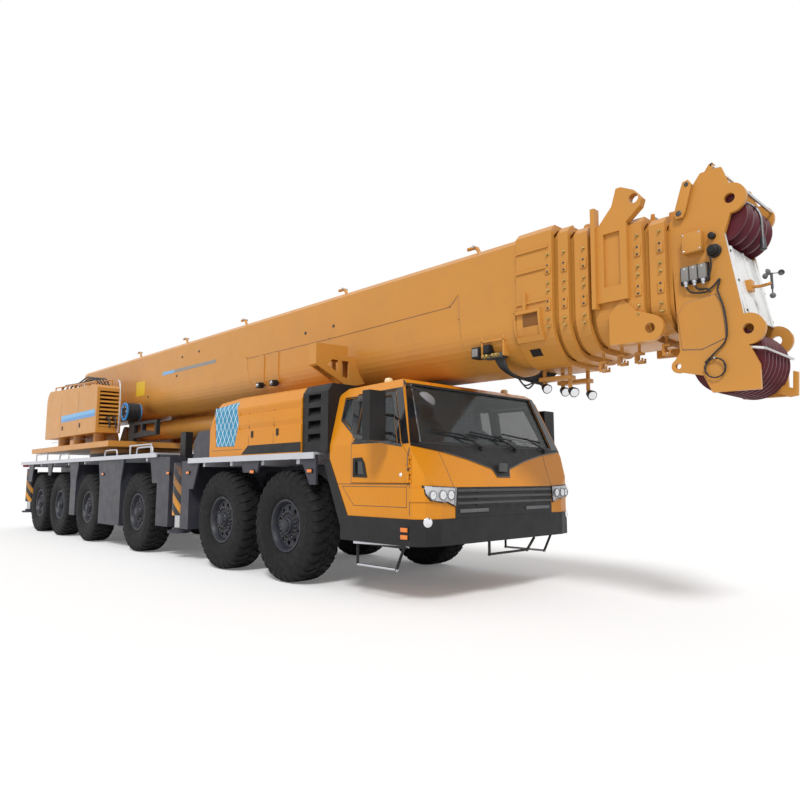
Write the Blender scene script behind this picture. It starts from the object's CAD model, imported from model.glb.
"""Looks of a six-axle mobile crane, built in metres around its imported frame.

+X points to the front, +Y to the left and +Z up. Each sub-assembly is a class whose fields are its sizes.
"""

import logging
import math
from dataclasses import dataclass
from enum import Enum
from functools import lru_cache
from typing import Callable, Iterable, Sequence

import bmesh
import bpy
from mathutils import Matrix, Vector
from mathutils.bvhtree import BVHTree


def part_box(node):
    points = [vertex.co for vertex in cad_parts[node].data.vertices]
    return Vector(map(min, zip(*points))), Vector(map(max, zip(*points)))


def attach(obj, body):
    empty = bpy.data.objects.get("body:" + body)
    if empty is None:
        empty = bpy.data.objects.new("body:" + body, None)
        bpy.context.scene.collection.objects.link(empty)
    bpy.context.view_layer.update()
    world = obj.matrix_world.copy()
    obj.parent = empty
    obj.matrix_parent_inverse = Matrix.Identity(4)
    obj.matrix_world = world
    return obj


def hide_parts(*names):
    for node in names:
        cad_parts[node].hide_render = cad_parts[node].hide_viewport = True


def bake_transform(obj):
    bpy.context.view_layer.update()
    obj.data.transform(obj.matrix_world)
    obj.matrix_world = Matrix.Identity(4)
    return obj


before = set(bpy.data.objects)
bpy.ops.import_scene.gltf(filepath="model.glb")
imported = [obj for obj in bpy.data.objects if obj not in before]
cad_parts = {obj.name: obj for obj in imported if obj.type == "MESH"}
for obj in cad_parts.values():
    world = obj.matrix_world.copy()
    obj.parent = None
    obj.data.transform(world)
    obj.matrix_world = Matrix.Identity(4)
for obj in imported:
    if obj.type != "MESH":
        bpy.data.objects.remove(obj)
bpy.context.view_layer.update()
LOG = logging.getLogger("crane")

Colour = tuple[float, float, float]
Point = tuple[float, float, float]
Flat = tuple[float, float]


class Axis(Enum):
    """The axis along which a flat outline is drawn out."""

    X = "x"
    Y = "y"
    Z = "z"

    def put(self, a: float, b: float, along: float) -> Vector:
        """Gives the point of flat place (a, b) at a distance along this axis."""
        if self is Axis.X:
            return Vector((along, a, b))
        if self is Axis.Y:
            return Vector((a, along, b))
        return Vector((a, b, along))


class Side(Enum):
    """A side of the vehicle, with the sign of its Y."""

    LEFT = 1
    RIGHT = -1

    @property
    def word(self) -> str:
        """The side's name as it stands in the frame's names."""
        return self.name.lower()

    def span(self, near: float, far: float) -> Flat:
        """Gives two distances from the middle as an ordered pair of Y."""
        low, high = sorted((self.value * near, self.value * far))
        return low, high


# Finishes


class Shader:
    """Adds and links the nodes of one material."""

    def __init__(self, name: str) -> None:
        """Starts an empty material of that name."""
        self.material = bpy.data.materials.new(name)
        self.material.use_nodes = True
        self.tree = self.material.node_tree
        self.tree.nodes.clear()

    def add(self, kind: str, inputs: dict | None = None, **settings: object) -> bpy.types.Node:
        """Adds a node.

        Args:
            kind: The node's type without its ShaderNode start.
            inputs: Sockets by name or number, each with a value or another node's socket.
            settings: Properties of the node.

        Returns:
            The new node.
        """
        node = self.tree.nodes.new("ShaderNode" + kind)
        for key, value in settings.items():
            setattr(node, key, value)
        for key, value in (inputs or {}).items():
            if isinstance(value, bpy.types.NodeSocket):
                self.tree.links.new(value, node.inputs[key])
            else:
                node.inputs[key].default_value = value
        return node

    def place(self) -> bpy.types.NodeSocket:
        """Gives the coordinates of the piece itself, in metres."""
        return self.add("TexCoord").outputs["Object"]

    def noise(self, scale: float, detail: float = 3.0, rough: float = 0.55) -> bpy.types.NodeSocket:
        """Gives a soft noise with that many blotches to a metre."""
        node = self.add("TexNoise", {"Vector": self.place(), "Scale": scale, "Detail": detail, "Roughness": rough})
        return node.outputs["Fac"]

    def ramp(self, value: bpy.types.NodeSocket, low: float, high: float, start: float = 0.0,
             end: float = 1.0) -> bpy.types.NodeSocket:
        """Stretches a value from low..high to start..end."""
        node = self.add("MapRange", {"Value": value, "From Min": low, "From Max": high, "To Min": start,
                                     "To Max": end})
        return node.outputs["Result"]

    def math(self, operation: str, a: object, b: object = 0.0) -> bpy.types.NodeSocket:
        """Gives the result of one sum on two values."""
        return self.add("Math", {0: a, 1: b}, operation=operation).outputs[0]

    def mix(self, share: object, a: object, b: object) -> bpy.types.NodeSocket:
        """Mixes two colours by a share."""
        node = self.add("Mix", {0: share, 6: a, 7: b}, data_type="RGBA")
        return node.outputs[2]

    def finish(self, inputs: dict) -> bpy.types.Material:
        """Ends the material in one principled surface with these inputs."""
        surface = self.add("BsdfPrincipled", inputs)
        self.add("OutputMaterial", {"Surface": surface.outputs["BSDF"]})
        return self.material


def rgba(colour: Colour, light: float = 1.0) -> tuple[float, float, float, float]:
    """Gives a colour, made lighter or darker, as four numbers."""
    return (*(min(1.0, c * light) for c in colour), 1.0)


@dataclass(frozen=True)
class Finish:
    """A painted, moulded or metal surface with blotches, grime, worn edges and a fine grain."""

    name: str
    colour: Colour
    roughness: float = 0.4
    metallic: float = 0.0
    coat: float = 0.0
    gloss: float = 0.5
    tone: float = 0.10
    patch: float = 1.3
    grime: float = 0.0
    grime_colour: Colour = (0.16, 0.13, 0.10)
    worn: float = 0.0
    bare: Colour = (0.30, 0.29, 0.28)
    grain: float = 0.15
    grain_size: float = 140.0
    edge: float = 0.004

    def paint(self, shader: Shader) -> bpy.types.NodeSocket:
        """Gives the colour of the surface before grime and wear."""
        return shader.mix(shader.noise(self.patch), rgba(self.colour, 1.0 - self.tone),
                          rgba(self.colour, 1.0 + self.tone))

    def relief(self, shader: Shader) -> bpy.types.NodeSocket:
        """Gives the height of the surface's fine grain."""
        return shader.noise(self.grain_size, 2.0)

    def material(self) -> bpy.types.Material:
        """Gives the finish as a material, made once."""
        return made(self)

    def make(self) -> bpy.types.Material:
        """Builds the material's nodes."""
        shader = Shader(self.name)
        colour = self.paint(shader)
        rounded = shader.add("Bevel", {"Radius": self.edge}, samples=4).outputs["Normal"]
        if self.grime:
            spots = shader.ramp(shader.noise(self.patch * 2.3, 6.0, 0.7), 0.48, 0.78, 0.0, self.grime)
            colour = shader.mix(spots, colour, rgba(self.grime_colour))
        if self.worn:
            plain = shader.add("NewGeometry").outputs["Normal"]
            facing = shader.add("VectorMath", {0: rounded, 1: plain}, operation="DOT_PRODUCT").outputs["Value"]
            rim = shader.ramp(facing, 0.995, 0.90, 0.0, 1.0)
            chips = shader.ramp(shader.noise(24.0, 5.0, 0.7), 0.50, 0.62, 0.0, self.worn)
            colour = shader.mix(shader.math("MULTIPLY", rim, chips), colour, rgba(self.bare))
        rough = shader.ramp(shader.noise(self.patch * 5.0, 4.0), 0.3, 0.7, self.roughness * 0.85,
                            min(1.0, self.roughness * 1.2))
        bump = shader.add("Bump", {"Strength": self.grain, "Distance": 0.002, "Height": self.relief(shader),
                                   "Normal": rounded})
        return shader.finish({"Base Color": colour, "Roughness": rough, "Metallic": self.metallic,
                              "Specular IOR Level": self.gloss, "Coat Weight": self.coat, "Coat Roughness": 0.12, "Normal": bump.outputs["Normal"]})


@dataclass(frozen=True)
class StripedFinish(Finish):
    """Two colours in slanting bars, as on the ends of an outrigger."""

    second: Colour = (0.02, 0.02, 0.02)
    pitch: float = 0.30

    def paint(self, shader: Shader) -> bpy.types.NodeSocket:
        """Gives the bars, drawn across the sum of the piece's X, Y and Z."""
        parts = shader.add("SeparateXYZ", {0: shader.place()}).outputs
        level = shader.math("ADD", shader.math("ADD", parts[0], parts[1]), parts[2])
        turn = shader.math("FRACT", shader.math("DIVIDE", level, self.pitch))
        bar = shader.ramp(turn, 0.49, 0.51)
        return shader.mix(bar, super().paint(shader), rgba(self.second))


@dataclass(frozen=True)
class LatticeFinish(Finish):
    """A field of colour under a plain lattice of pale diamonds."""

    second: Colour = (0.75, 0.85, 0.88)
    pitch: float = 0.20
    line: float = 0.055

    def paint(self, shader: Shader) -> bpy.types.NodeSocket:
        """Gives the field with lines along both slants of X and Z."""
        parts = shader.add("SeparateXYZ", {0: shader.place()}).outputs
        wide = shader.math("MULTIPLY", parts[0], 1.6)
        lines = None
        for operation in ("ADD", "SUBTRACT"):
            level = shader.math(operation, wide, parts[2])
            turn = shader.math("PINGPONG", level, self.pitch / 2)
            thin = shader.ramp(turn, self.pitch * self.line * 0.5, self.pitch * self.line, 1.0, 0.0)
            lines = thin if lines is None else shader.math("MAXIMUM", lines, thin)
        return shader.mix(lines, super().paint(shader), rgba(self.second))


@dataclass(frozen=True)
class TreadPlate(Finish):
    """Aluminium plate with raised bars that cross."""

    pitch: float = 0.045

    def relief(self, shader: Shader) -> bpy.types.NodeSocket:
        """Gives short bars in two directions."""
        parts = shader.add("SeparateXYZ", {0: shader.place()}).outputs
        bars = None
        for operation in ("ADD", "SUBTRACT"):
            level = shader.math(operation, parts[0], parts[1])
            turn = shader.math("PINGPONG", level, self.pitch / 2)
            bar = shader.ramp(turn, 0.0, self.pitch * 0.16, 1.0, 0.0)
            bars = bar if bars is None else shader.math("ADD", bars, bar)
        return bars


@dataclass(frozen=True)
class RopeFinish(Finish):
    """Steel wire rope: strands that wind round its length."""

    lay: float = 0.05

    def relief(self, shader: Shader) -> bpy.types.NodeSocket:
        """Gives slanting strands along the rope."""
        parts = shader.add("SeparateXYZ", {0: shader.place()}).outputs
        level = shader.math("ADD", parts[0], shader.math("ADD", parts[1], parts[2]))
        return shader.math("PINGPONG", level, self.lay / 2)


@dataclass(frozen=True)
class ClearFinish(Finish):
    """Glass or clear plastic that lets part of what is behind it show."""

    cover: float = 0.35

    def make(self) -> bpy.types.Material:
        """Builds a smooth tinted surface with a little dust."""
        shader = Shader(self.name)
        dust = shader.ramp(shader.noise(6.0, 6.0, 0.7), 0.45, 0.8, self.roughness, self.roughness + 0.10)
        return shader.finish({"Base Color": self.paint(shader), "Roughness": dust, "Alpha": self.cover,
                              "Specular IOR Level": 0.8})


@lru_cache(maxsize=None)
def made(finish: Finish) -> bpy.types.Material:
    """Builds each finish once."""
    return finish.make()


class Look(Enum):
    """The finishes of the crane."""

    AMBER = Finish("amber_paint", (0.64, 0.235, 0.008), 0.30, coat=0.10, gloss=0.25, tone=0.05, grime=0.10, worn=0.25,
                   bare=(0.36, 0.20, 0.08), grain=0.05)
    TAN = Finish("tan_paint", (0.56, 0.248, 0.045), 0.36, coat=0.10, gloss=0.3, tone=0.07, patch=0.7, grime=0.14, worn=0.35,
                 bare=(0.34, 0.22, 0.12), grain=0.08, grain_size=60.0)
    UMBER = Finish("shaded_paint", (0.22, 0.085, 0.016), 0.45, gloss=0.3, tone=0.15)
    SLATE = Finish("slate_paint", (0.036, 0.037, 0.049), 0.42, gloss=0.35, tone=0.12, grime=0.22, worn=0.4,
                   bare=(0.16, 0.15, 0.15))
    DECK = TreadPlate("tread_plate", (0.36, 0.37, 0.40), 0.40, metallic=0.6, tone=0.10, grime=0.25, grain=0.6)
    SILVER = Finish("silver_edge", (0.56, 0.57, 0.61), 0.38, metallic=0.35, tone=0.06, grime=0.10, worn=0.2)
    BLACK = Finish("black_plastic", (0.011, 0.011, 0.012), 0.48, gloss=0.3, tone=0.20, grime=0.06, grain=0.3)
    GLOSS_BLACK = Finish("black_gloss", (0.012, 0.012, 0.014), 0.12, coat=0.6, tone=0.15, grain=0.02)
    RUBBER = Finish("tyre_rubber", (0.0085, 0.0085, 0.0095), 0.75, gloss=0.25, tone=0.25, patch=3.0, grime=0.18,
                    grime_colour=(0.035, 0.033, 0.030), grain=0.4, grain_size=220.0)
    RIM = Finish("rim_paint", (0.017, 0.019, 0.028), 0.45, gloss=0.35, tone=0.15, patch=4.0, grime=0.25, worn=0.5)
    STEEL = Finish("ground_steel", (0.55, 0.55, 0.56), 0.25, metallic=1.0, tone=0.08, patch=3.0, grime=0.08)
    DARK_STEEL = Finish("dark_steel", (0.08, 0.08, 0.085), 0.45, metallic=0.6, tone=0.2, patch=4.0, grime=0.2,
                        worn=0.4)
    CASTING = Finish("engine_casting", (0.12, 0.125, 0.135), 0.55, metallic=0.3, tone=0.2, patch=3.0, grime=0.4,
                     grain=0.5, grain_size=90.0)
    MAROON = Finish("maroon_nylon", (0.085, 0.008, 0.015), 0.40, gloss=0.3, tone=0.15, patch=4.0, grime=0.15,
                    grime_colour=(0.05, 0.03, 0.03))
    WHITE = Finish("white_panel", (0.72, 0.72, 0.71), 0.35, coat=0.3, tone=0.05, grime=0.12)
    BLUE = Finish("blue_stripe", (0.03, 0.24, 0.55), 0.35, coat=0.3, tone=0.10)
    SKY = Finish("sky_stripe", (0.12, 0.38, 0.68), 0.35, coat=0.3, tone=0.10)
    YELLOW = Finish("yellow_plate", (0.72, 0.46, 0.02), 0.40, gloss=0.3, tone=0.06, grime=0.1)
    GREY = Finish("grey_stripe", (0.22, 0.21, 0.20), 0.4, coat=0.2, tone=0.08)
    LATTICE = LatticeFinish("blue_lattice", (0.018, 0.23, 0.40), 0.30, gloss=0.3, tone=0.25, patch=3.0, grain=0.02)
    HAZARD = StripedFinish("hazard_bars", (0.72, 0.30, 0.02), 0.40, coat=0.2, tone=0.08, grime=0.15, worn=0.2)
    GLASS = ClearFinish("tinted_glass", (0.045, 0.055, 0.060), 0.03, tone=0.08, cover=0.42)
    LENS = ClearFinish("clear_lens", (0.85, 0.87, 0.88), 0.05, tone=0.04, cover=0.22)
    CHROME = Finish("lamp_reflector", (0.85, 0.86, 0.88), 0.10, metallic=1.0, tone=0.05, patch=9.0, grain=0.02)
    MIRROR = Finish("mirror_glass", (0.75, 0.78, 0.80), 0.04, metallic=1.0, tone=0.03, grain=0.0)
    AMBER_LENS = Finish("amber_lens", (0.80, 0.20, 0.01), 0.15, coat=0.5, tone=0.12, patch=30.0)
    PALE_LENS = Finish("pale_lens", (0.80, 0.62, 0.36), 0.15, coat=0.4, tone=0.10, patch=30.0)
    RED_LENS = Finish("red_lens", (0.50, 0.01, 0.01), 0.15, coat=0.5, tone=0.12, patch=30.0)
    ROPE = RopeFinish("wire_rope", (0.20, 0.20, 0.20), 0.42, metallic=0.7, tone=0.2, patch=8.0, grain=1.0)
    HOSE = Finish("rubber_hose", (0.013, 0.013, 0.014), 0.5, tone=0.2, patch=8.0, grain=0.3)
    SEAT = Finish("seat_cloth", (0.035, 0.036, 0.040), 0.9, tone=0.3, patch=25.0, grain=0.8, grain_size=400.0)
    LINER = Finish("cab_lining", (0.20, 0.20, 0.21), 0.75, tone=0.10, patch=4.0, grain=0.4)
    BRASS = Finish("yellow_zinc", (0.45, 0.33, 0.12), 0.35, metallic=0.8, tone=0.2, patch=9.0)

    @property
    def material(self) -> bpy.types.Material:
        """The finish as a material."""
        return self.value.material()


# Meshes


def round_path(points: Sequence[Point], steps: int = 8) -> list[Vector]:
    """Gives a smooth run through points.

    Args:
        points: The places it passes through.
        steps: New points in each stretch.

    Returns:
        The points of the run.
    """
    p = [Vector(q) for q in points]
    p = [p[0] * 2 - p[1], *p, p[-1] * 2 - p[-2]]
    run = []
    for k in range(1, len(p) - 2):
        for i in range(steps):
            t = i / steps
            run.append(0.5 * ((2 * p[k]) + (p[k + 1] - p[k - 1]) * t
                              + (2 * p[k - 1] - 5 * p[k] + 4 * p[k + 1] - p[k + 2]) * t * t
                              + (3 * p[k] - p[k - 1] - 3 * p[k + 1] + p[k + 2]) * t ** 3))
    return [*run, p[-2]]


def ring(count: int, radius: float, start: float = 0.0) -> list[Flat]:
    """Gives points evenly round a circle."""
    return [(radius * math.cos(start + math.tau * k / count), radius * math.sin(start + math.tau * k / count))
            for k in range(count)]


@lru_cache(maxsize=None)
def surface(node: str) -> BVHTree:
    """Gives the faces of a node of the frame, to lay things on."""
    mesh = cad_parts[node].data
    return BVHTree.FromPolygons([v.co for v in mesh.vertices], [tuple(p.vertices) for p in mesh.polygons])


def touch(node: str, start: Vector, aim: Vector) -> Vector | None:
    """Gives the first place on a node that a line from start along aim meets."""
    return surface(node).ray_cast(start, aim.normalized())[0]


class Piece:
    """One named mesh that rides on a body of the frame."""

    def __init__(self, name: str, body: str, slot: str | None = None) -> None:
        """Starts an empty piece."""
        self.name, self.body, self.slot = name, body, slot
        self.mesh = bmesh.new()
        self.looks: list[Look] = []

    def join(self, part: bmesh.types.BMesh, look: Look, place: Matrix | None = None, bevel: float = 0.0,
             smooth: bool = False) -> None:
        """Adds a finished mesh to the piece.

        Args:
            part: The mesh, which is freed.
            look: Its finish.
            place: Where it goes.
            bevel: Width of the chamfer along its sharp edges.
            smooth: True for a round form.
        """
        if look not in self.looks:
            self.looks.append(look)
        if bevel:
            sharp = [e for e in part.edges if len(e.link_faces) == 2 and e.calc_face_angle() > 0.5]
            bmesh.ops.bevel(part, geom=sharp, offset=bevel, segments=2, profile=0.6, affect="EDGES",
                            clamp_overlap=True)
        bmesh.ops.recalc_face_normals(part, faces=part.faces)
        if place is not None:
            part.transform(place)
            if place.determinant() < 0:
                bmesh.ops.reverse_faces(part, faces=part.faces)
        for face in part.faces:
            face.material_index = self.looks.index(look)
            face.smooth = smooth
        scratch = bpy.data.meshes.new("scratch")
        part.to_mesh(scratch)
        part.free()
        self.mesh.from_mesh(scratch)
        bpy.data.meshes.remove(scratch)

    def prism(self, outline: Sequence[Flat], axis: Axis, start: float, end: float, look: Look,
              place: Matrix | None = None, bevel: float = 0.003) -> None:
        """Adds a flat outline drawn out along an axis from start to end."""
        part = bmesh.new()
        face = part.faces.new([part.verts.new(axis.put(a, b, start)) for a, b in outline])
        drawn = bmesh.ops.extrude_face_region(part, geom=[face])["geom"]
        shift = axis.put(0.0, 0.0, end - start)
        bmesh.ops.translate(part, vec=shift, verts=[g for g in drawn if isinstance(g, bmesh.types.BMVert)])
        self.join(part, look, place, bevel)

    def box(self, low: Point, high: Point, look: Look, place: Matrix | None = None, bevel: float = 0.004) -> None:
        """Adds a block with softened edges between two corners."""
        outline = [(low[0], low[1]), (high[0], low[1]), (high[0], high[1]), (low[0], high[1])]
        self.prism(outline, Axis.Z, low[2], high[2], look, place, bevel)

    def turned(self, profile: Sequence[Flat], look: Look, place: Matrix, steps: int = 32, bevel: float = 0.0) -> None:
        """Adds a turned form.

        Args:
            profile: Pairs of distance along the axis, which is Z before placing, and radius. A profile that ends
                where it starts makes a ring.
            look: Its finish.
            place: Where it goes.
            steps: Facets round it.
            bevel: Width of the chamfer along its sharp edges.
        """
        part = bmesh.new()
        rows = []
        for along, radius in profile:
            if radius < 1e-6:
                rows.append([part.verts.new((0.0, 0.0, along))])
            else:
                rows.append([part.verts.new((x, y, along)) for x, y in ring(steps, radius)])
        closed = tuple(profile[0]) == tuple(profile[-1])
        if closed:
            bmesh.ops.delete(part, geom=rows[-1], context="VERTS")
            rows[-1] = rows[0]
        for a, b in zip(rows, rows[1:]):
            for k in range(steps):
                n = (k + 1) % steps
                corners = [a[k % len(a)], a[n % len(a)], b[n % len(b)], b[k % len(b)]]
                part.faces.new(list(dict.fromkeys(corners)))
        for row in (rows[0], rows[-1]):
            if len(row) > 1 and not closed:
                part.faces.new(row)
        self.join(part, look, place, bevel, smooth=True)

    def tube(self, path: Sequence[Vector | Point], radius: float, look: Look, sides: int = 10) -> None:
        """Adds a round bar or hose along a path."""
        points = [Vector(p) for p in path]
        part = bmesh.new()
        rows = []
        across = (points[1] - points[0]).normalized().orthogonal().normalized()
        for k, point in enumerate(points):
            along = (points[min(k + 1, len(points) - 1)] - points[max(k - 1, 0)]).normalized()
            across = (across - along * across.dot(along)).normalized()
            other = along.cross(across)
            rows.append([part.verts.new(point + across * x + other * y) for x, y in ring(sides, radius)])
        for a, b in zip(rows, rows[1:]):
            for k in range(sides):
                part.faces.new((a[k], a[(k + 1) % sides], b[(k + 1) % sides], b[k]))
        part.faces.new(rows[0])
        part.faces.new(rows[-1])
        self.join(part, look, smooth=True)

    def bolt(self, place: Point, axis: Vector, radius: float, height: float, look: Look) -> None:
        """Adds a hexagon head with a washer below it."""
        turn = Matrix.Translation(place) @ axis.to_track_quat("Z", "Y").to_matrix().to_4x4()
        self.turned([(0.0, radius * 1.35), (height * 0.22, radius * 1.35), (height * 0.22, radius),
                     (height * 0.85, radius), (height, radius * 0.8)], look, turn, 6)

    def laid(self, cells: Sequence[Sequence[Flat]], axis: Axis, start: float, nodes: Sequence[str], look: Look,
             lift: float = 0.003, step: float = 0.12, place: Matrix | None = None) -> None:
        """Lays flat outlines on the frame's surface as one thin sheet.

        Args:
            cells: Outlines in the plane across the axis, with shared corners where they meet.
            axis: The direction in which they are let down.
            start: Place on the axis from which they are let down, towards zero.
            nodes: The nodes they may land on.
            look: The sheet's finish.
            lift: How far it stands off the surface.
            step: Largest distance between the points that are let down.
            place: The local frame of the outline, such as that of the boom.
        """
        place = place or Matrix.Identity(4)
        part = bmesh.new()
        for cell in cells:
            part.faces.new([part.verts.new(axis.put(a, b, start)) for a, b in cell])
        bmesh.ops.remove_doubles(part, verts=part.verts, dist=1e-5)
        first, second = [k for k in range(3) if k != "xyz".index(axis.value)]
        for k in (first, second):
            values = [v.co[k] for v in part.verts]
            low, high = min(values), max(values)
            cuts = max(1, math.ceil((high - low) / step))
            for i in range(1, cuts):
                spot, normal = Vector(), Vector()
                spot[k], normal[k] = low + (high - low) * i / cuts, 1.0
                bmesh.ops.bisect_plane(part, geom=[*part.verts, *part.edges, *part.faces], plane_co=spot,
                                       plane_no=normal)
        aim = axis.put(0.0, 0.0, -math.copysign(1.0, start))
        world_aim = place.to_3x3() @ aim
        back = place.inverted()
        depths = {}
        for vert in part.verts:
            hits = [touch(node, place @ vert.co, world_aim) for node in nodes]
            found = [(back @ hit - vert.co).dot(aim) for hit in hits if hit is not None]
            if found:
                depths[vert] = min(found)
        if not depths:
            raise ValueError(f"{self.name}: nothing below a laid sheet")
        for vert in part.verts:
            if vert not in depths:
                near = min(depths, key=lambda v: (v.co - vert.co).length_squared)
                depths[vert] = depths[near]
        for vert, depth in list(depths.items()):
            vert.co += aim * (depth - lift)
        drawn = bmesh.ops.extrude_face_region(part, geom=list(part.faces))["geom"]
        bmesh.ops.translate(part, vec=aim * (lift + 0.002), verts=[g for g in drawn if isinstance(g, bmesh.types.BMVert)])
        self.join(part, look, place)

    def seal(self, outline: Sequence[Flat], axis: Axis, start: float, node: str, radius: float = 0.011) -> None:
        """Lays a round rubber seal along a closed flat outline on one node."""
        aim = axis.put(0.0, 0.0, -math.copysign(1.0, start))
        run = [touch(node, axis.put(a, b, start), aim) for a, b in [*outline, outline[0]]]
        if None in run:
            raise ValueError(f"{self.name}: a seal misses {node}")
        self.tube(run, radius, Look.HOSE, 8)

    def strip(self, path: Sequence[Flat], width: float, axis: Axis, start: float, nodes: Sequence[str], look: Look,
              lift: float = 0.002, place: Matrix | None = None) -> None:
        """Lays a line of even width along a flat path, as a seam or a pinstripe."""
        for a, b in zip(path, path[1:]):
            along = Vector(b) - Vector(a)
            side = Vector((-along.y, along.x)).normalized() * width / 2
            end = along.normalized() * width / 2
            p, q = Vector(a) - end, Vector(b) + end
            self.laid([[tuple(p + side), tuple(q + side), tuple(q - side), tuple(p - side)]], axis, start, nodes,
                      look, lift, place=place)

    def done(self, *replaced: str, across: tuple[str, Vector, Vector] | None = None) -> bpy.types.Object:
        """Ends the piece and sets it on its body.

        Args:
            replaced: Nodes of the frame that it stands for.
            across: A second body that its far end follows, with the places where the change starts and ends.

        Returns:
            The new object.
        """
        mesh = bpy.data.meshes.new(self.name)
        self.mesh.to_mesh(mesh)
        self.mesh.free()
        for look in self.looks:
            mesh.materials.append(look.material)
        piece = bpy.data.objects.new(self.name, mesh)
        bpy.context.scene.collection.objects.link(piece)
        mesh.set_sharp_from_angle(angle=math.radians(38))
        if across:
            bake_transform(piece)
        else:
            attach(piece, self.body)
        if replaced:
            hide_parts(*replaced)
        LOG.info("%s rides on %s with %d faces", self.name, self.body, len(mesh.polygons))
        return piece


def dress(node: str, looks: Sequence[Look], choose: Callable[[Vector, Vector], int] | None = None) -> None:
    """Gives a node of the frame its finishes.

    Args:
        node: Its name.
        looks: The finishes.
        choose: Gives the finish's number from a face's middle and its direction.
    """
    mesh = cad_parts[node].data
    mesh.materials.clear()
    for look in looks:
        mesh.materials.append(look.material)
    for face in mesh.polygons:
        face.material_index = choose(face.center, face.normal) if choose else 0
    LOG.info("%s is dressed", node)


# Camera and studio


@dataclass
class PhotoCamera:
    """The camera at the photograph's place."""

    place: Point = (11.055, -6.17, 1.32)
    heading: float = math.radians(136.77)
    lift: float = math.radians(6.97)
    lens: float = 29.07

    def build(self) -> None:
        """Makes the camera and gives it to the scene."""
        camera = bpy.data.cameras.new("photo_camera")
        camera.lens = self.lens
        camera.sensor_width = 36.0
        camera.clip_end = 400.0
        holder = bpy.data.objects.new("photo_camera", camera)
        bpy.context.scene.collection.objects.link(holder)
        aim = Vector((math.cos(self.heading) * math.cos(self.lift), math.sin(self.heading) * math.cos(self.lift),
                      math.sin(self.lift)))
        holder.matrix_world = Matrix.Translation(self.place) @ aim.to_track_quat("-Z", "Y").to_matrix().to_4x4()
        bpy.context.scene.camera = holder


@dataclass
class Studio:
    """A pale floor, an even white sky and one soft key light."""

    floor_reach: float = 150.0
    sky: float = 0.62
    key: float = 2.1
    key_from: Point = (0.50, -0.60, 0.78)
    key_spread: float = math.radians(14.0)

    def build(self) -> None:
        """Makes the world, the key light and the floor."""
        bpy.context.scene.view_settings.view_transform = "Standard"
        self.world()
        lamp = bpy.data.lights.new("key", "SUN")
        lamp.energy, lamp.angle = self.key, self.key_spread
        holder = bpy.data.objects.new("key", lamp)
        holder.rotation_euler = Vector(self.key_from).to_track_quat("Z", "Y").to_euler()
        bpy.context.scene.collection.objects.link(holder)
        self.floor()

    def world(self) -> None:
        """Makes a sky that is white to the eye, in glass and in metal, and softer as a light."""
        world = bpy.data.worlds.new("studio")
        world.use_nodes = True
        bpy.context.scene.world = world
        tree = world.node_tree
        rays = tree.nodes.new("ShaderNodeLightPath")
        seen = rays.outputs["Is Camera Ray"]
        for other in ("Is Glossy Ray", "Is Transmission Ray"):
            either = tree.nodes.new("ShaderNodeMath")
            either.operation = "MAXIMUM"
            tree.links.new(seen, either.inputs[0])
            tree.links.new(rays.outputs[other], either.inputs[1])
            seen = either.outputs[0]
        level = tree.nodes.new("ShaderNodeMapRange")
        level.inputs["To Min"].default_value = self.sky
        level.inputs["To Max"].default_value = 1.0
        tree.links.new(seen, level.inputs["Value"])
        sky = tree.nodes["Background"]
        sky.inputs["Color"].default_value = (1.0, 1.0, 1.0, 1.0)
        tree.links.new(level.outputs["Result"], sky.inputs["Strength"])

    def floor(self) -> None:
        """Makes a floor that is white where lit and keeps the shadow."""
        half = self.floor_reach
        mesh = bpy.data.meshes.new("floor")
        mesh.from_pydata([(-half, -half, 0), (half, -half, 0), (half, half, 0), (-half, half, 0)], [], [(0, 1, 2, 3)])
        shader = Shader("floor_paint")
        matt = shader.add("BsdfDiffuse", {"Color": (0.86, 0.86, 0.86, 1.0)})
        glow = shader.add("Emission", {"Color": (1.0, 1.0, 1.0, 1.0),
                                       "Strength": shader.math("MULTIPLY", shader.add("LightPath").outputs[0], 0.12)})
        both = shader.add("AddShader", {0: matt.outputs[0], 1: glow.outputs[0]})
        shader.add("OutputMaterial", {"Surface": both.outputs[0]})
        mesh.materials.append(shader.material)
        floor = bpy.data.objects.new("floor", mesh)
        bpy.context.scene.collection.objects.link(floor)


# Wheels


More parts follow.
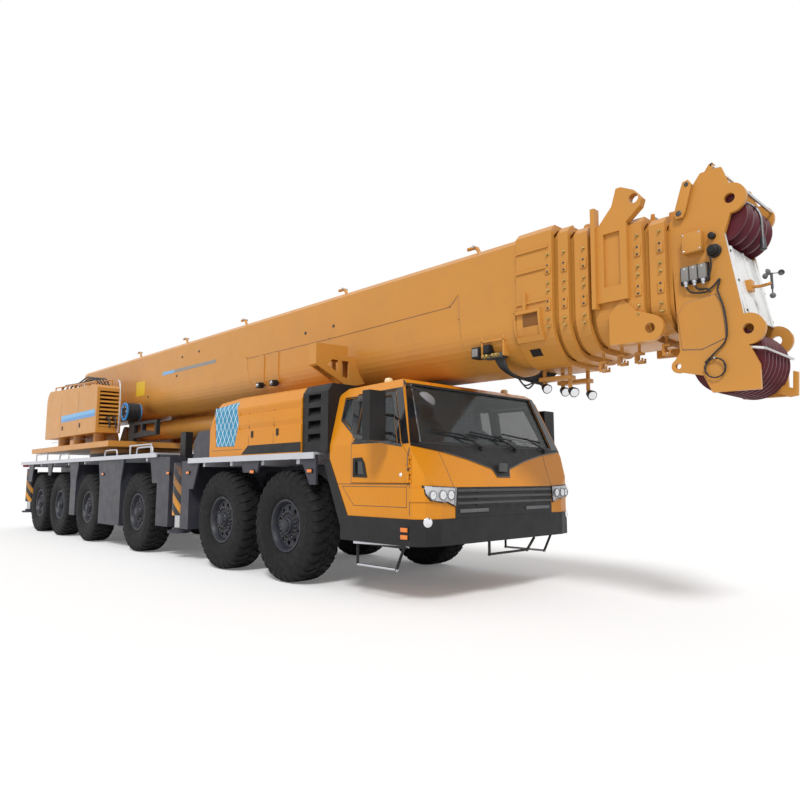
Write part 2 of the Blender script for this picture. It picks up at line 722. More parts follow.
@dataclass
class Wheels:
    """Twelve lugged tyres on dished rims with planetary hubs."""

    radius: float = 0.720
    half_width: float = 0.220
    lugs: int = 34
    rim_seat: float = 0.3175
    disc: float = 0.070
    disc_thick: float = 0.045
    holes: int = 10
    hole_radius: float = 0.030
    hole_ring: float = 0.222
    nuts: int = 20
    nut_ring: float = 0.178

    def build(self) -> None:
        """Makes one wheel and sets a copy at each hub."""
        pattern = self.wheel()
        for number in range(1, 7):
            for side in Side:
                name = f"wheel_{number}_{side.word}"
                low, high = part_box(name)
                turn = Matrix.Rotation(0.0 if side is Side.LEFT else math.pi, 4, "Z")
                spin = Matrix.Rotation(math.pi / 2 * number, 4, "Y")
                piece = bpy.data.objects.new("tyre_and_rim_" + name[6:], pattern)
                bpy.context.scene.collection.objects.link(piece)
                piece.matrix_world = Matrix.Translation((low + high) / 2) @ turn @ spin
                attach(piece, name)
                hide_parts(name)
                LOG.info("%s is shod", name)

    def wheel(self) -> bpy.types.Mesh:
        """Gives the mesh of one wheel about its own middle, its outside towards +Y."""
        along_y = Matrix.Rotation(-math.pi / 2, 4, "X")
        build = Piece("wheel_pattern", "carrier")
        build.turned(self.carcass(), Look.RUBBER, along_y, 96)
        for number in range(self.lugs):
            for sign in (1, -1):
                build.join(self.lug(math.tau * (number + (0.25 if sign > 0 else -0.25)) / self.lugs, sign), Look.RUBBER)
        r, h = self.rim_seat, self.half_width
        inner = r - 0.040
        build.turned([(-h * 0.80, inner), (-h * 0.80, r + 0.022), (-h * 0.72, r + 0.022), (-h * 0.62, r),
                      (h * 0.62, r), (h * 0.70, r + 0.020), (h * 0.76, r + 0.026), (h * 0.81, r + 0.022),
                      (h * 0.80, r - 0.004), (h * 0.70, r - 0.016), (h * 0.48, inner), (-h * 0.70, inner),
                      (-h * 0.80, inner)],
                     Look.RIM, along_y, 72)
        build.join(self.dish(), Look.RIM, along_y)
        build.turned([(-0.11, 0.10), (self.disc + self.disc_thick, 0.142), (self.disc + self.disc_thick + 0.018, 0.136),
                      (self.disc + self.disc_thick + 0.022, 0.116), (0.168, 0.112), (0.176, 0.104), (0.178, 0.086),
                      (0.194, 0.082), (0.203, 0.070), (0.204, 0.0)], Look.RIM, along_y, 40)
        out = Vector((0.0, 1.0, 0.0))
        face = self.disc + self.disc_thick
        for x, z in ring(self.nuts, self.nut_ring):
            build.bolt((x, face - 0.001, z), out, 0.016, 0.032, Look.DARK_STEEL)
        for x, z in ring(12, 0.098):
            build.bolt((x, 0.174, z), out, 0.008, 0.012, Look.DARK_STEEL)
        mesh = bpy.data.meshes.new("wheel")
        build.mesh.to_mesh(mesh)
        build.mesh.free()
        for look in build.looks:
            mesh.materials.append(look.material)
        mesh.set_sharp_from_angle(angle=math.radians(38))
        return mesh

    def carcass(self) -> list[Flat]:
        """Gives the tyre's section under its lugs, with rings moulded on the side walls."""
        half = [(0.128, 0.318), (0.154, 0.344), (0.176, 0.352), (0.184, 0.372), (0.190, 0.374), (0.196, 0.392),
                (0.208, 0.436), (0.216, 0.490), (0.2185, 0.520), (0.2195, 0.528), (0.2185, 0.536), (0.217, 0.580),
                (0.212, 0.626), (0.206, 0.655), (0.196, 0.680), (0.165, 0.697), (0.06, 0.703)]
        return [(-y, r) for y, r in half] + [(y, r) for y, r in reversed(half)] + [(-half[0][0], half[0][1])]

    def lug(self, angle: float, sign: int) -> bmesh.types.BMesh:
        """Gives one lug from near the middle of the tread over the shoulder."""
        crest = [(0.016, 0.720), (0.070, 0.720), (0.072, 0.720), (0.130, 0.718), (0.170, 0.712), (0.200, 0.694),
                 (0.214, 0.664), (0.217, 0.626)]
        foot = [(0.016, 0.694), (0.070, 0.694), (0.072, 0.694), (0.130, 0.690), (0.165, 0.686), (0.190, 0.672),
                (0.202, 0.650), (0.208, 0.618)]
        sweep = [0.0, -0.035, 0.015, 0.045, 0.055, 0.055, 0.055, 0.055]
        wide = [0.050, 0.050, 0.056, 0.056, 0.058, 0.058, 0.050, 0.036]
        part = bmesh.new()
        rows = []
        for (y1, r1), (y0, r0), turn, half in zip(crest, foot, sweep, wide):
            corners = []
            for y, r, a in ((y0, r0, -half), (y1, r1, -half * 0.86), (y1, r1, half * 0.86), (y0, r0, half)):
                spot = angle + turn + a
                corners.append(part.verts.new((r * math.cos(spot), sign * y, r * math.sin(spot))))
            rows.append(corners)
        for a, b in zip(rows, rows[1:]):
            for k in range(4):
                part.faces.new((a[k], a[(k + 1) % 4], b[(k + 1) % 4], b[k]))
        part.faces.new(rows[0])
        part.faces.new(rows[-1])
        return part

    def dish(self) -> bmesh.types.BMesh:
        """Gives the disc of the rim with its ring of hand holes, before it is turned onto the axle."""
        part = bmesh.new()
        loops = [ring(72, self.rim_seat - 0.039), ring(40, 0.125)]
        for x, y in ring(self.holes, self.hole_ring):
            loops.append([(x + a, y + b) for a, b in ring(16, self.hole_radius)])
        edges = []
        for loop in loops:
            verts = [part.verts.new((x, y, self.disc)) for x, y in loop]
            edges += [part.edges.new((verts[k - 1], verts[k])) for k in range(len(verts))]
        bmesh.ops.triangle_fill(part, use_beauty=True, edges=edges, normal=(0.0, 0.0, 1.0))
        drawn = bmesh.ops.extrude_face_region(part, geom=list(part.faces))["geom"]
        bmesh.ops.translate(part, vec=(0.0, 0.0, self.disc_thick),
                            verts=[g for g in drawn if isinstance(g, bmesh.types.BMVert)])
        return part


# Nodes that keep their shape


@dataclass
class Solids:
    """Finishes of the frame's nodes that show as they are."""

    rear: float = -9.0
    post: float = 0.5
    tanks: float = 1.9

    def build(self) -> None:
        """Dresses every node."""
        plain = {
            Look.SLATE: ["chassis_frame", "axle_beams", "side_lockers", "hoist_drum"],
            Look.TAN: ["turntable", "machine_house", "boom_base", "boom_lugs", "boom_section_1", "boom_section_2",
                       "boom_section_3", "boom_section_4", "luff_barrel"],
            Look.AMBER: ["engine_housing"],
            Look.BLACK: ["bumper_grille", "intake_columns"],
            Look.GLASS: ["cab_glass"],
            Look.MAROON: ["lower_sheaves", "upper_sheaves"],
            Look.STEEL: ["luff_rod"],
        }
        for look, nodes in plain.items():
            for node in nodes:
                dress(node, [look])
        for number in (1, 2, 5, 6):
            for side in Side:
                dress(f"knuckle_{number}_{side.word}", [Look.DARK_STEEL])
        self.deck()
        self.outriggers()
        self.fittings()

    def deck(self) -> None:
        """Gives the deck silver edges and tread plate on top."""
        dress("deck_plates", [Look.SILVER, Look.DECK], lambda at, way: int(way.z > 0.5))

    def outriggers(self) -> None:
        """Gives beams slate paint with barred ends, and jacks steel rods on dark feet."""
        for row in ("front", "rear"):
            for side in Side:
                name = f"{row}_{side.word}"
                end = side.value * 1.19
                dress("beam_" + name, [Look.SLATE, Look.HAZARD],
                      lambda at, way, end=end: int(at.y * math.copysign(1.0, end) > abs(end) and at.z < 1.25))
                dress("jack_" + name, [Look.STEEL, Look.SLATE], lambda at, way: int(at.z < 0.55))

    def fittings(self) -> None:
        """Gives lamps, steps and the hoist's frame their finishes."""
        dress("lamps", [Look.AMBER, Look.RED_LENS], lambda at, way: int(at.x < self.rear))
        dress("steps_rails", [Look.SILVER, Look.BLACK],
              lambda at, way: int(at.x > 4.5 and at.z < 0.80 and (at.x > 6.1 or 0.37 < at.z < 0.60)))
        dress("hoist_gear", [Look.TAN, Look.BLACK], lambda at, way: int(at.x > -6.0))
        dress("engine_block", [Look.BLACK, Look.SLATE, Look.CASTING],
              lambda at, way: int(at.x > self.post) + int(at.x > self.tanks))


# Driver's cab


@dataclass
class DriverCab:
    """Window surrounds, front mask, wipers, lamps, handles and seats of the driver's cab."""

    reach: float = 1.8
    door_reach: float = 1.47
    screen_foot: Flat = (6.130, 1.690)
    screen_slope: float = 0.3846
    nose: float = 6.325
    half_width: float = 1.400
    lamp_low: float = 1.085
    lamp_high: float = 1.220
    seat_rows: tuple[float, ...] = (-0.78, 0.0, 0.78)
    seat_back: float = 5.08
    seat_floor: float = 0.955
    dash: Flat = (5.70, 1.60)

    def build(self) -> None:
        """Dresses the shell and makes every fitting."""
        dress("cab_shell", [Look.AMBER, Look.LINER, Look.BLACK], self.shell_look)
        for side in Side:
            dress(f"cab_door_{side.word}", [Look.AMBER, Look.GLASS, Look.BLACK, Look.LINER],
                  lambda at, way, side=side: self.door_look(at, way, side))
            self.door_fittings(side)
        self.surrounds()
        self.front()
        self.wipers()
        self.lamps()
        self.roof()
        self.interior()

    def shell_look(self, at: Vector, way: Vector) -> int:
        """Tells paint, lining and window reveals of the shell apart."""
        plane = Vector((1.0, 0.0, self.screen_slope)).normalized()
        off = (at - self.screen(0.0, self.screen_foot[1])).dot(plane)
        if -0.12 < off < 0.01 and abs(at.y) < 1.235 and 1.70 < at.z < 2.40 and abs(way.dot(plane)) < 0.7:
            return 2
        if abs(way.y) < 0.5 and abs(at.y) > 1.0 and 4.87 < at.x < 5.10 and 1.90 < at.z < 2.30:
            return 2
        return int((at - Vector((5.45, 0.0, 1.70))).dot(way) < 0.0 and abs(at.y) < 1.385 and at.x < 6.31)

    def door_look(self, at: Vector, way: Vector, side: Side) -> int:
        """Tells paint, pane, mirror and lining of a door apart."""
        if abs(at.y) > 1.45 and at.z > 1.70:
            return 2
        if abs(way.y) < 0.5 and 5.215 < at.x < 5.95 and 1.70 < at.z < 2.275:
            return 2
        if 5.225 < at.x and 1.725 < at.z < 2.258 and at.x < 5.93 - (at.z - 1.725) * 0.42:
            return 1
        return 3 if way.y * side.value < -0.5 else 0

    def screen(self, y: float, z: float, off: float = 0.0) -> Vector:
        """Gives a point on the windscreen's plane, or off it to the outside."""
        way = Vector((1.0, 0.0, self.screen_slope)).normalized()
        return Vector((self.screen_foot[0] - (z - self.screen_foot[1]) * self.screen_slope, y, z)) + way * off

    def door_fittings(self, side: Side) -> None:
        """Makes the black window frame, the handle and the seams of a door."""
        node, start = f"cab_door_{side.word}", side.value * self.door_reach
        outer = [(5.152, 1.800), (6.012, 1.664), (5.765, 2.303), (5.152, 2.303)]
        inner = [(5.208, 1.842), (5.955, 1.706), (5.708, 2.272), (5.208, 2.272)]
        piece = Piece(f"door_trim_{side.word}", node, "black_trim")
        piece.laid(frame_cells(outer, inner), Axis.Y, start, [node], Look.GLOSS_BLACK, 0.004, 0.03)
        piece.seal(inner, Axis.Y, start, node)
        plate = [(5.185, 1.560), (5.345, 1.565), (5.395, 1.500), (5.440, 1.335), (5.185, 1.345)]
        piece.laid([plate], Axis.Y, start, [node], Look.BLACK, 0.008)
        grip = side.value * (self.half_width + 0.022)
        piece.tube(round_path([(5.235, grip - side.value * 0.016, 1.525), (5.240, grip, 1.505), (5.250, grip, 1.400),
                               (5.252, grip - side.value * 0.016, 1.375)]), 0.013, Look.BLACK)
        piece.laid([[(5.285, 1.375), (5.385, 1.375), (5.350, 1.515), (5.285, 1.520)]], Axis.Y, start, [node],
                   Look.GLOSS_BLACK, 0.010)
        piece.bolt((5.99, side.value * (self.half_width - 0.001), 1.365), Vector((0.0, side.value, 0.0)), 0.018, 0.008,
                   Look.CHROME)
        low, high = side.span(1.520, 1.710)
        hit = touch(node, Vector((5.40, side.value * 1.615, 2.0)), Vector((1.0, 0.0, 0.0)))
        back = hit.x if hit is not None else 5.74
        piece.box((back - 0.004, low, 1.76), (back + 0.004, high, 2.24), Look.MIRROR)
        piece.done()

    def surrounds(self) -> None:
        """Makes the black frames round the quarter windows and the windscreen, and the pillars between."""
        for side in Side:
            start = side.value * self.reach
            piece = Piece(f"window_trim_{side.word}", "carrier", "black_trim")
            outer = [(4.862, 2.022), (5.142, 1.832), (5.142, 2.308), (4.862, 2.308)]
            inner = [(4.875, 2.034), (5.097, 1.890), (5.097, 2.297), (4.875, 2.297)]
            piece.laid(frame_cells(outer, inner), Axis.Y, start, ["cab_shell"], Look.GLOSS_BLACK, 0.004, 0.03)
            piece.seal(inner, Axis.Y, start, "cab_shell")
            piece.laid([[(6.024, 1.692), (6.122, 1.700), (5.868, 2.345), (5.772, 2.314)]], Axis.Y, start,
                       ["cab_shell"], Look.GLOSS_BLACK, 0.004, 0.03)
            piece.laid([[(5.10, 2.314), (5.772, 2.314), (5.860, 2.345), (5.10, 2.330)]], Axis.Y, start,
                       ["cab_shell"], Look.BLACK, 0.004, 0.03)
            low = [(4.99, 1.235), (6.08, 1.235), (6.08, 1.020), (5.20, 1.020), (4.99, 1.235)]
            piece.strip(low, 0.006, Axis.Y, start, ["cab_shell"], Look.DARK_STEEL, 0.0012)
            piece.strip([(4.80, 1.262), (6.125, 1.262), (6.125, 0.94)], 0.007, Axis.Y, start, ["cab_shell"],
                        Look.DARK_STEEL, 0.0012)
            piece.strip([(6.125, 1.262), (6.125, 1.650)], 0.007, Axis.Y, start, ["cab_shell"], Look.DARK_STEEL, 0.0012)
            piece.done()
        piece = Piece("windscreen_trim", "carrier", "black_trim")
        outer = [(-1.392, 1.700), (1.392, 1.700), (1.205, 2.398), (-1.205, 2.398)]
        inner = [(-1.228, 1.715), (1.228, 1.715), (1.121, 2.388), (-1.121, 2.388)]
        piece.laid(frame_cells(outer, inner), Axis.X, 7.0, ["cab_shell"], Look.GLOSS_BLACK, 0.005, 0.03)
        piece.seal(inner, Axis.X, 7.0, "cab_shell", 0.014)
        piece.done()

    def front(self) -> None:
        """Makes the mask under the windscreen, the panel seams and the blank badge plate."""
        piece = Piece("front_mask", "carrier", "black_trim")
        cells = []
        edge = [(0.115, 1.345), (0.165, 1.440), (0.55, 1.545), (0.95, 1.625), (1.392, 1.682)]
        for (y0, z0), (y1, z1) in zip(edge, edge[1:]):
            for sign in (1, -1):
                cells.append([(sign * y0, z0), (sign * y1, z1), (sign * y1, 1.702), (sign * y0, 1.702)])
        cells.append([(-0.115, 1.345), (0.115, 1.345), (0.115, 1.702), (-0.115, 1.702)])
        piece.laid(cells, Axis.X, 7.0, ["cab_shell"], Look.BLACK, 0.006, 0.04)
        lip = [(-1.392, 1.682), (-0.95, 1.625), (-0.55, 1.545), (-0.165, 1.440), (-0.115, 1.345), (0.115, 1.345),
               (0.165, 1.440), (0.55, 1.545), (0.95, 1.625), (1.392, 1.682)]
        piece.strip(lip, 0.012, Axis.X, 7.0, ["cab_shell"], Look.GLOSS_BLACK, 0.009)
        for sign in (1, -1):
            piece.strip([(sign * 0.99, 1.618), (sign * 0.96, 1.50), (sign * 0.925, 1.235)], 0.007, Axis.X, 7.0,
                        ["cab_shell"], Look.DARK_STEEL, 0.0012)
        piece.box((6.255, -0.075, 1.405), (6.290, 0.075, 1.505), Look.DARK_STEEL,
                  Matrix.Translation((-0.004, 0.0, 0.0)))
        piece.done()

    def wipers(self) -> None:
        """Makes three wipers that lie low on the windscreen."""
        piece = Piece("wipers", "carrier", "black_trim")
        for y in (-0.24, 0.42, 1.04):
            root, tip = self.screen(y, 1.675, 0.035), self.screen(y - 0.32, 1.815, 0.035)
            piece.turned([(0.0, 0.030), (0.020, 0.030), (0.030, 0.018), (0.045, 0.0)], Look.BLACK,
                         Matrix.Translation(self.screen(y, 1.675)) @ Vector((1, 0, 0.38)).to_track_quat("Z", "Y")
                         .to_matrix().to_4x4(), 16)
            piece.tube([root, root.lerp(tip, 0.4), tip, self.screen(y - 0.36, 1.822, 0.026)], 0.011, Look.BLACK, 8)
            ends = [self.screen(y - 0.36 + d, 1.822 - d * 0.10, 0.020) for d in (-0.42, -0.14, 0.14, 0.34)]
            piece.tube(ends, 0.009, Look.BLACK, 8)
            piece.tube([p - Vector((0.012, 0.0, 0.004)) for p in ends], 0.006, Look.HOSE, 6)
        piece.done()

    def lamps(self) -> None:
        """Makes the head lamp clusters, fog lamps, side repeaters and the plate holder."""
        for side in Side:
            s = side.value
            piece = Piece(f"head_lamp_{side.word}", "carrier", "lamp")
            cover = [(s * 0.915, 1.228), (s * 1.335, 1.246), (s * 1.325, 1.160), (s * 1.270, 1.100), (s * 1.110, 1.072),
                     (s * 1.060, 1.080), (s * 0.930, 1.035)]
            piece.laid([cover], Axis.X, 7.0, ["cab_shell", "lamps"], Look.SILVER, 0.010, 0.05)
            rim = [cover[0], cover[1], cover[2], cover[3], cover[4], cover[5], cover[6], cover[0]]
            piece.strip(rim, 0.012, Axis.X, 7.0, ["cab_shell", "lamps"], Look.BLACK, 0.014)
            for y, r in ((1.000, 0.054), (1.125, 0.056), (1.245, 0.050)):
                hit = touch("lamps", Vector((7.0, s * y, 1.150)), Vector((-1.0, 0.0, 0.0)))
                spot = hit if hit is not None else Vector((self.nose - 0.03, s * y, 1.150))
                way = Vector((1.0, s * 0.25 * (y - 0.95), 0.0)).to_track_quat("Z", "Y").to_matrix().to_4x4()
                piece.turned([(0.004, r), (0.024, r), (0.028, r * 0.94), (0.024, r * 0.88), (0.004, r * 0.88)],
                             Look.DARK_STEEL, Matrix.Translation(spot) @ way, 24)
                piece.turned([(0.022, r * 0.86), (0.014, r * 0.45), (0.012, 0.0)], Look.CHROME,
                             Matrix.Translation(spot) @ way, 24)
                piece.turned([(0.012, r * 0.34), (0.022, r * 0.30), (0.026, 0.0)], Look.LENS,
                             Matrix.Translation(spot) @ way, 16)
            piece.laid([cover], Axis.X, 7.0, ["cab_shell", "lamps"], Look.LENS, 0.034, 0.05)
            piece.done()
            piece = Piece(f"corner_lamps_{side.word}", "carrier", "lamp")
            out = Matrix.Translation((6.285, s * 1.295, 0.870)) @ Vector((1.0, s * 0.35, 0.0)).to_track_quat("Z", "Y") \
                .to_matrix().to_4x4()
            piece.turned([(-0.02, 0.052), (0.012, 0.052), (0.018, 0.044), (0.020, 0.0)], Look.CHROME, out, 24)
            for z in (0.690, 0.765):
                low, high = side.span(1.395, 1.416)
                piece.box((6.00, low, z - 0.008), (6.12, high, z + 0.053), Look.BLACK)
                low, high = side.span(1.400, 1.426)
                piece.box((6.01, low, z), (6.11, high, z + 0.045), Look.AMBER_LENS)
            piece.done()
        piece = Piece("front_grille", "carrier", "black_trim")
        piece.laid([[(-0.905, 0.900), (0.905, 0.900), (0.905, 1.232), (-0.905, 1.232)]], Axis.X, 7.0,
                   ["cab_shell", "bumper_grille"], Look.BLACK, 0.006)
        for z in (1.040, 1.108, 1.176):
            slat = [(self.nose + 0.002, z), (self.nose + 0.022, z + 0.006), (self.nose + 0.022, z + 0.030),
                    (self.nose + 0.002, z + 0.040)]
            piece.prism(slat, Axis.Y, -0.880, 0.880, Look.DARK_STEEL)
        for y0, y1 in ((-0.84, -0.36), (0.36, 0.84)):
            piece.box((self.nose + 0.004, y0, 0.955), (self.nose + 0.020, y1, 0.995), Look.CASTING)
        piece.done()

    def roof(self) -> None:
        """Makes the beacons, the roof hatch, the marker lamps and the front mirror."""
        piece = Piece("roof_fittings", "carrier", "lamp")
        for x, y in ((5.28, -0.93), (5.60, 0.93)):
            top = Matrix.Translation((x, y, 2.448))
            piece.turned([(-0.02, 0.075), (0.012, 0.075), (0.030, 0.060), (0.034, 0.050)], Look.AMBER, top, 24)
            piece.turned([(0.034, 0.052), (0.070, 0.052), (0.090, 0.040), (0.098, 0.018), (0.100, 0.0)],
                         Look.PALE_LENS, top, 24)
        hatch = [(5.05, -0.36), (5.55, -0.36), (5.55, 0.36), (5.05, 0.36)]
        piece.prism(hatch, Axis.Z, 2.440, 2.478, Look.BLACK, bevel=0.015)
        for y in (-0.75, -0.25, 0.25, 0.75):
            piece.box((5.775, y - 0.045, 2.425), (5.808, y + 0.045, 2.448), Look.AMBER_LENS)
        piece.done()
        piece = Piece("front_mirror", "carrier", "black_trim")
        arm = [(5.83, -1.17, 2.37), (5.98, -1.20, 2.33), (6.10, -1.16, 2.26), (6.12, -1.12, 2.22)]
        piece.tube(round_path(arm), 0.012, Look.BLACK)
        turn = Matrix.Translation((6.10, -1.10, 2.20)) @ Vector((-0.5, -0.25, -0.6)).to_track_quat("Z", "Y") \
            .to_matrix().to_4x4() @ Matrix.Diagonal((1.5, 1.0, 1.0, 1.0))
        piece.turned([(-0.055, 0.0), (-0.050, 0.05), (-0.030, 0.085), (0.0, 0.100), (0.008, 0.096)], Look.LINER, turn, 28)
        piece.turned([(0.006, 0.094), (0.010, 0.090), (0.016, 0.0)], Look.MIRROR, turn, 28)
        piece.done()

    def interior(self) -> None:
        """Makes the dash, the steering wheel and three padded seats in place of the plain ones."""
        x, z = self.dash
        floor = self.seat_floor
        piece = Piece("dash_and_wheel", "carrier", "black_trim")
        outline = [(x + 0.02, floor), (x + 0.36, floor), (x + 0.36, z - 0.04), (x + 0.28, z), (x + 0.06, z - 0.04),
                   (x + 0.02, z - 0.20)]
        piece.prism(outline, Axis.Y, -1.18, 1.18, Look.BLACK, bevel=0.03)
        hood = [(x + 0.03, z - 0.05), (x + 0.22, z - 0.01), (x + 0.20, z + 0.09), (x + 0.06, z + 0.06)]
        piece.prism(hood, Axis.Y, 0.50, 1.06, Look.LINER, bevel=0.02)
        hub = Vector((x, 0.78, z))
        tilt = Matrix.Translation(hub) @ Matrix.Rotation(math.radians(-62), 4, "Y")
        rim = [tilt @ Vector((a, b, 0.0)) for a, b in ring(40, 0.23)]
        piece.tube([*rim, rim[0]], 0.016, Look.HOSE)
        for a, b in ring(3, 0.225, 0.5):
            piece.tube([hub, tilt @ Vector((a, b, 0.0))], 0.014, Look.BLACK, 8)
        piece.turned([(-0.19, 0.03), (-0.02, 0.032), (-0.01, 0.06), (0.02, 0.05), (0.026, 0.0)], Look.BLACK, tilt, 24)
        for y in self.seat_rows:
            piece.turned([(0.0, 0.16), (0.03, 0.16), (0.05, 0.09), (0.33, 0.08)], Look.BLACK,
                         Matrix.Translation((self.seat_back + 0.24, y, floor)), 20)
        piece.done("cab_interior")
        for number, y in enumerate(self.seat_rows, 1):
            cab_seat(f"driver_seat_{number}", "carrier", Vector((self.seat_back, y, floor)))


def frame_cells(outer: Sequence[Flat], inner: Sequence[Flat]) -> list[list[Flat]]:
    """Gives the cells between two outlines with as many corners each."""
    count = len(outer)
    return [[outer[k], outer[(k + 1) % count], inner[(k + 1) % count], inner[k]] for k in range(count)]


def pad(name: str, body: str, low: Vector, high: Vector, place: Matrix, crown: float, channels: int) -> None:
    """Makes one seat pad.

    Args:
        name: Its name.
        body: The body it rides on.
        low: Its lowest corner before placing.
        high: Its highest corner before placing.
        place: Where it goes.
        crown: How far its middle swells.
        channels: Sewn channels across it.
    """
    part = bmesh.new()
    bmesh.ops.create_cube(part, size=1.0)
    bmesh.ops.subdivide_edges(part, edges=part.edges, cuts=11, use_grid_fill=True)
    size = high - low
    for vert in part.verts:
        u, v, w = vert.co * 2.0
        swell = (1.0 - u * u) * (1.0 - v * v)
        groove = 0.35 * crown * (1.0 - abs(math.sin(math.pi * channels * (u + 1.0) / 2.0))) ** 4
        round_off = 1.0 - 0.06 * (u ** 8 + v ** 8)
        vert.co = low + Vector(((u * round_off + 1.0) / 2 * size.x, (v * round_off + 1.0) / 2 * size.y,
                                (w + 1.0) / 2 * size.z + (crown * swell - groove if w > 0.5 else 0.0)))
    bmesh.ops.smooth_vert(part, verts=part.verts, factor=0.4, use_axis_x=True, use_axis_y=True, use_axis_z=True)
    piece = Piece(name, body, "black_trim")
    piece.join(part, Look.SEAT, place, smooth=True)
    shape = piece.done()


def cab_seat(name: str, body: str, place: Vector, foot: float = 0.322) -> None:
    """Makes the cushion, the back and the head rest of one seat that looks towards +X.

    Args:
        name: The start of the pads' names.
        body: The body they ride on.
        place: The rear middle of the seat on the cab's floor.
        foot: Height of the cushion's underside.
    """
    here = Matrix.Translation(place)
    pad(name + "_cushion", body, Vector((-0.012, -0.243, foot)), Vector((0.512, 0.243, foot + 0.150)), here, 0.030, 3)
    upright = Matrix(((0, 0, 1, 0), (0, 1, 0, 0), (1, 0, 0, 0), (0, 0, 0, 1)))
    lean = here @ Matrix.Translation((0.0, 0.0, foot + 0.118)) @ Matrix.Rotation(math.radians(-10.6), 4, "Y") @ upright
    pad(name + "_back", body, Vector((-0.020, -0.243, -0.014)), Vector((0.712, 0.243, 0.122)), lean, 0.030, 4)
    pad(name + "_head", body, Vector((0.735, -0.130, 0.010)), Vector((0.900, 0.130, 0.100)), lean, 0.018, 1)


# Engine housing and carrier


@dataclass
class EngineHousing:
    """The lattice panel, the dark foot strip, seams and latches of the engine housing."""

    reach: float = 1.8
    node: str = "engine_housing"

    def build(self) -> None:
        """Makes the dress of both sides."""
        for side in Side:
            start = side.value * self.reach
            piece = Piece(f"housing_dress_{side.word}", "carrier", "cab_paint")
            panel = [(1.876, 2.396), (2.520, 2.448), (2.594, 2.120), (2.487, 1.795), (1.936, 1.808)]
            piece.laid([panel], Axis.Y, start, [self.node], Look.LATTICE, 0.005, 0.03)
            foot = [(2.700, 1.668), (4.186, 1.668), (4.186, 1.790), (2.883, 1.790)]
            piece.laid([foot], Axis.Y, start, [self.node], Look.BLACK, 0.004)
            for seam in ([(2.890, 1.795), (2.890, 2.485)], [(3.540, 1.795), (3.540, 2.485)],
                         [(1.80, 1.745), (2.70, 1.745)]):
                piece.strip(seam, 0.006, Axis.Y, start, [self.node], Look.DARK_STEEL, 0.0012)
            for x in (2.965, 3.615):
                piece.laid([[(x, 1.90), (x + 0.05, 1.90), (x + 0.05, 1.99), (x, 1.99)]], Axis.Y, start, [self.node],
                           Look.BLACK, 0.010)
            piece.done()


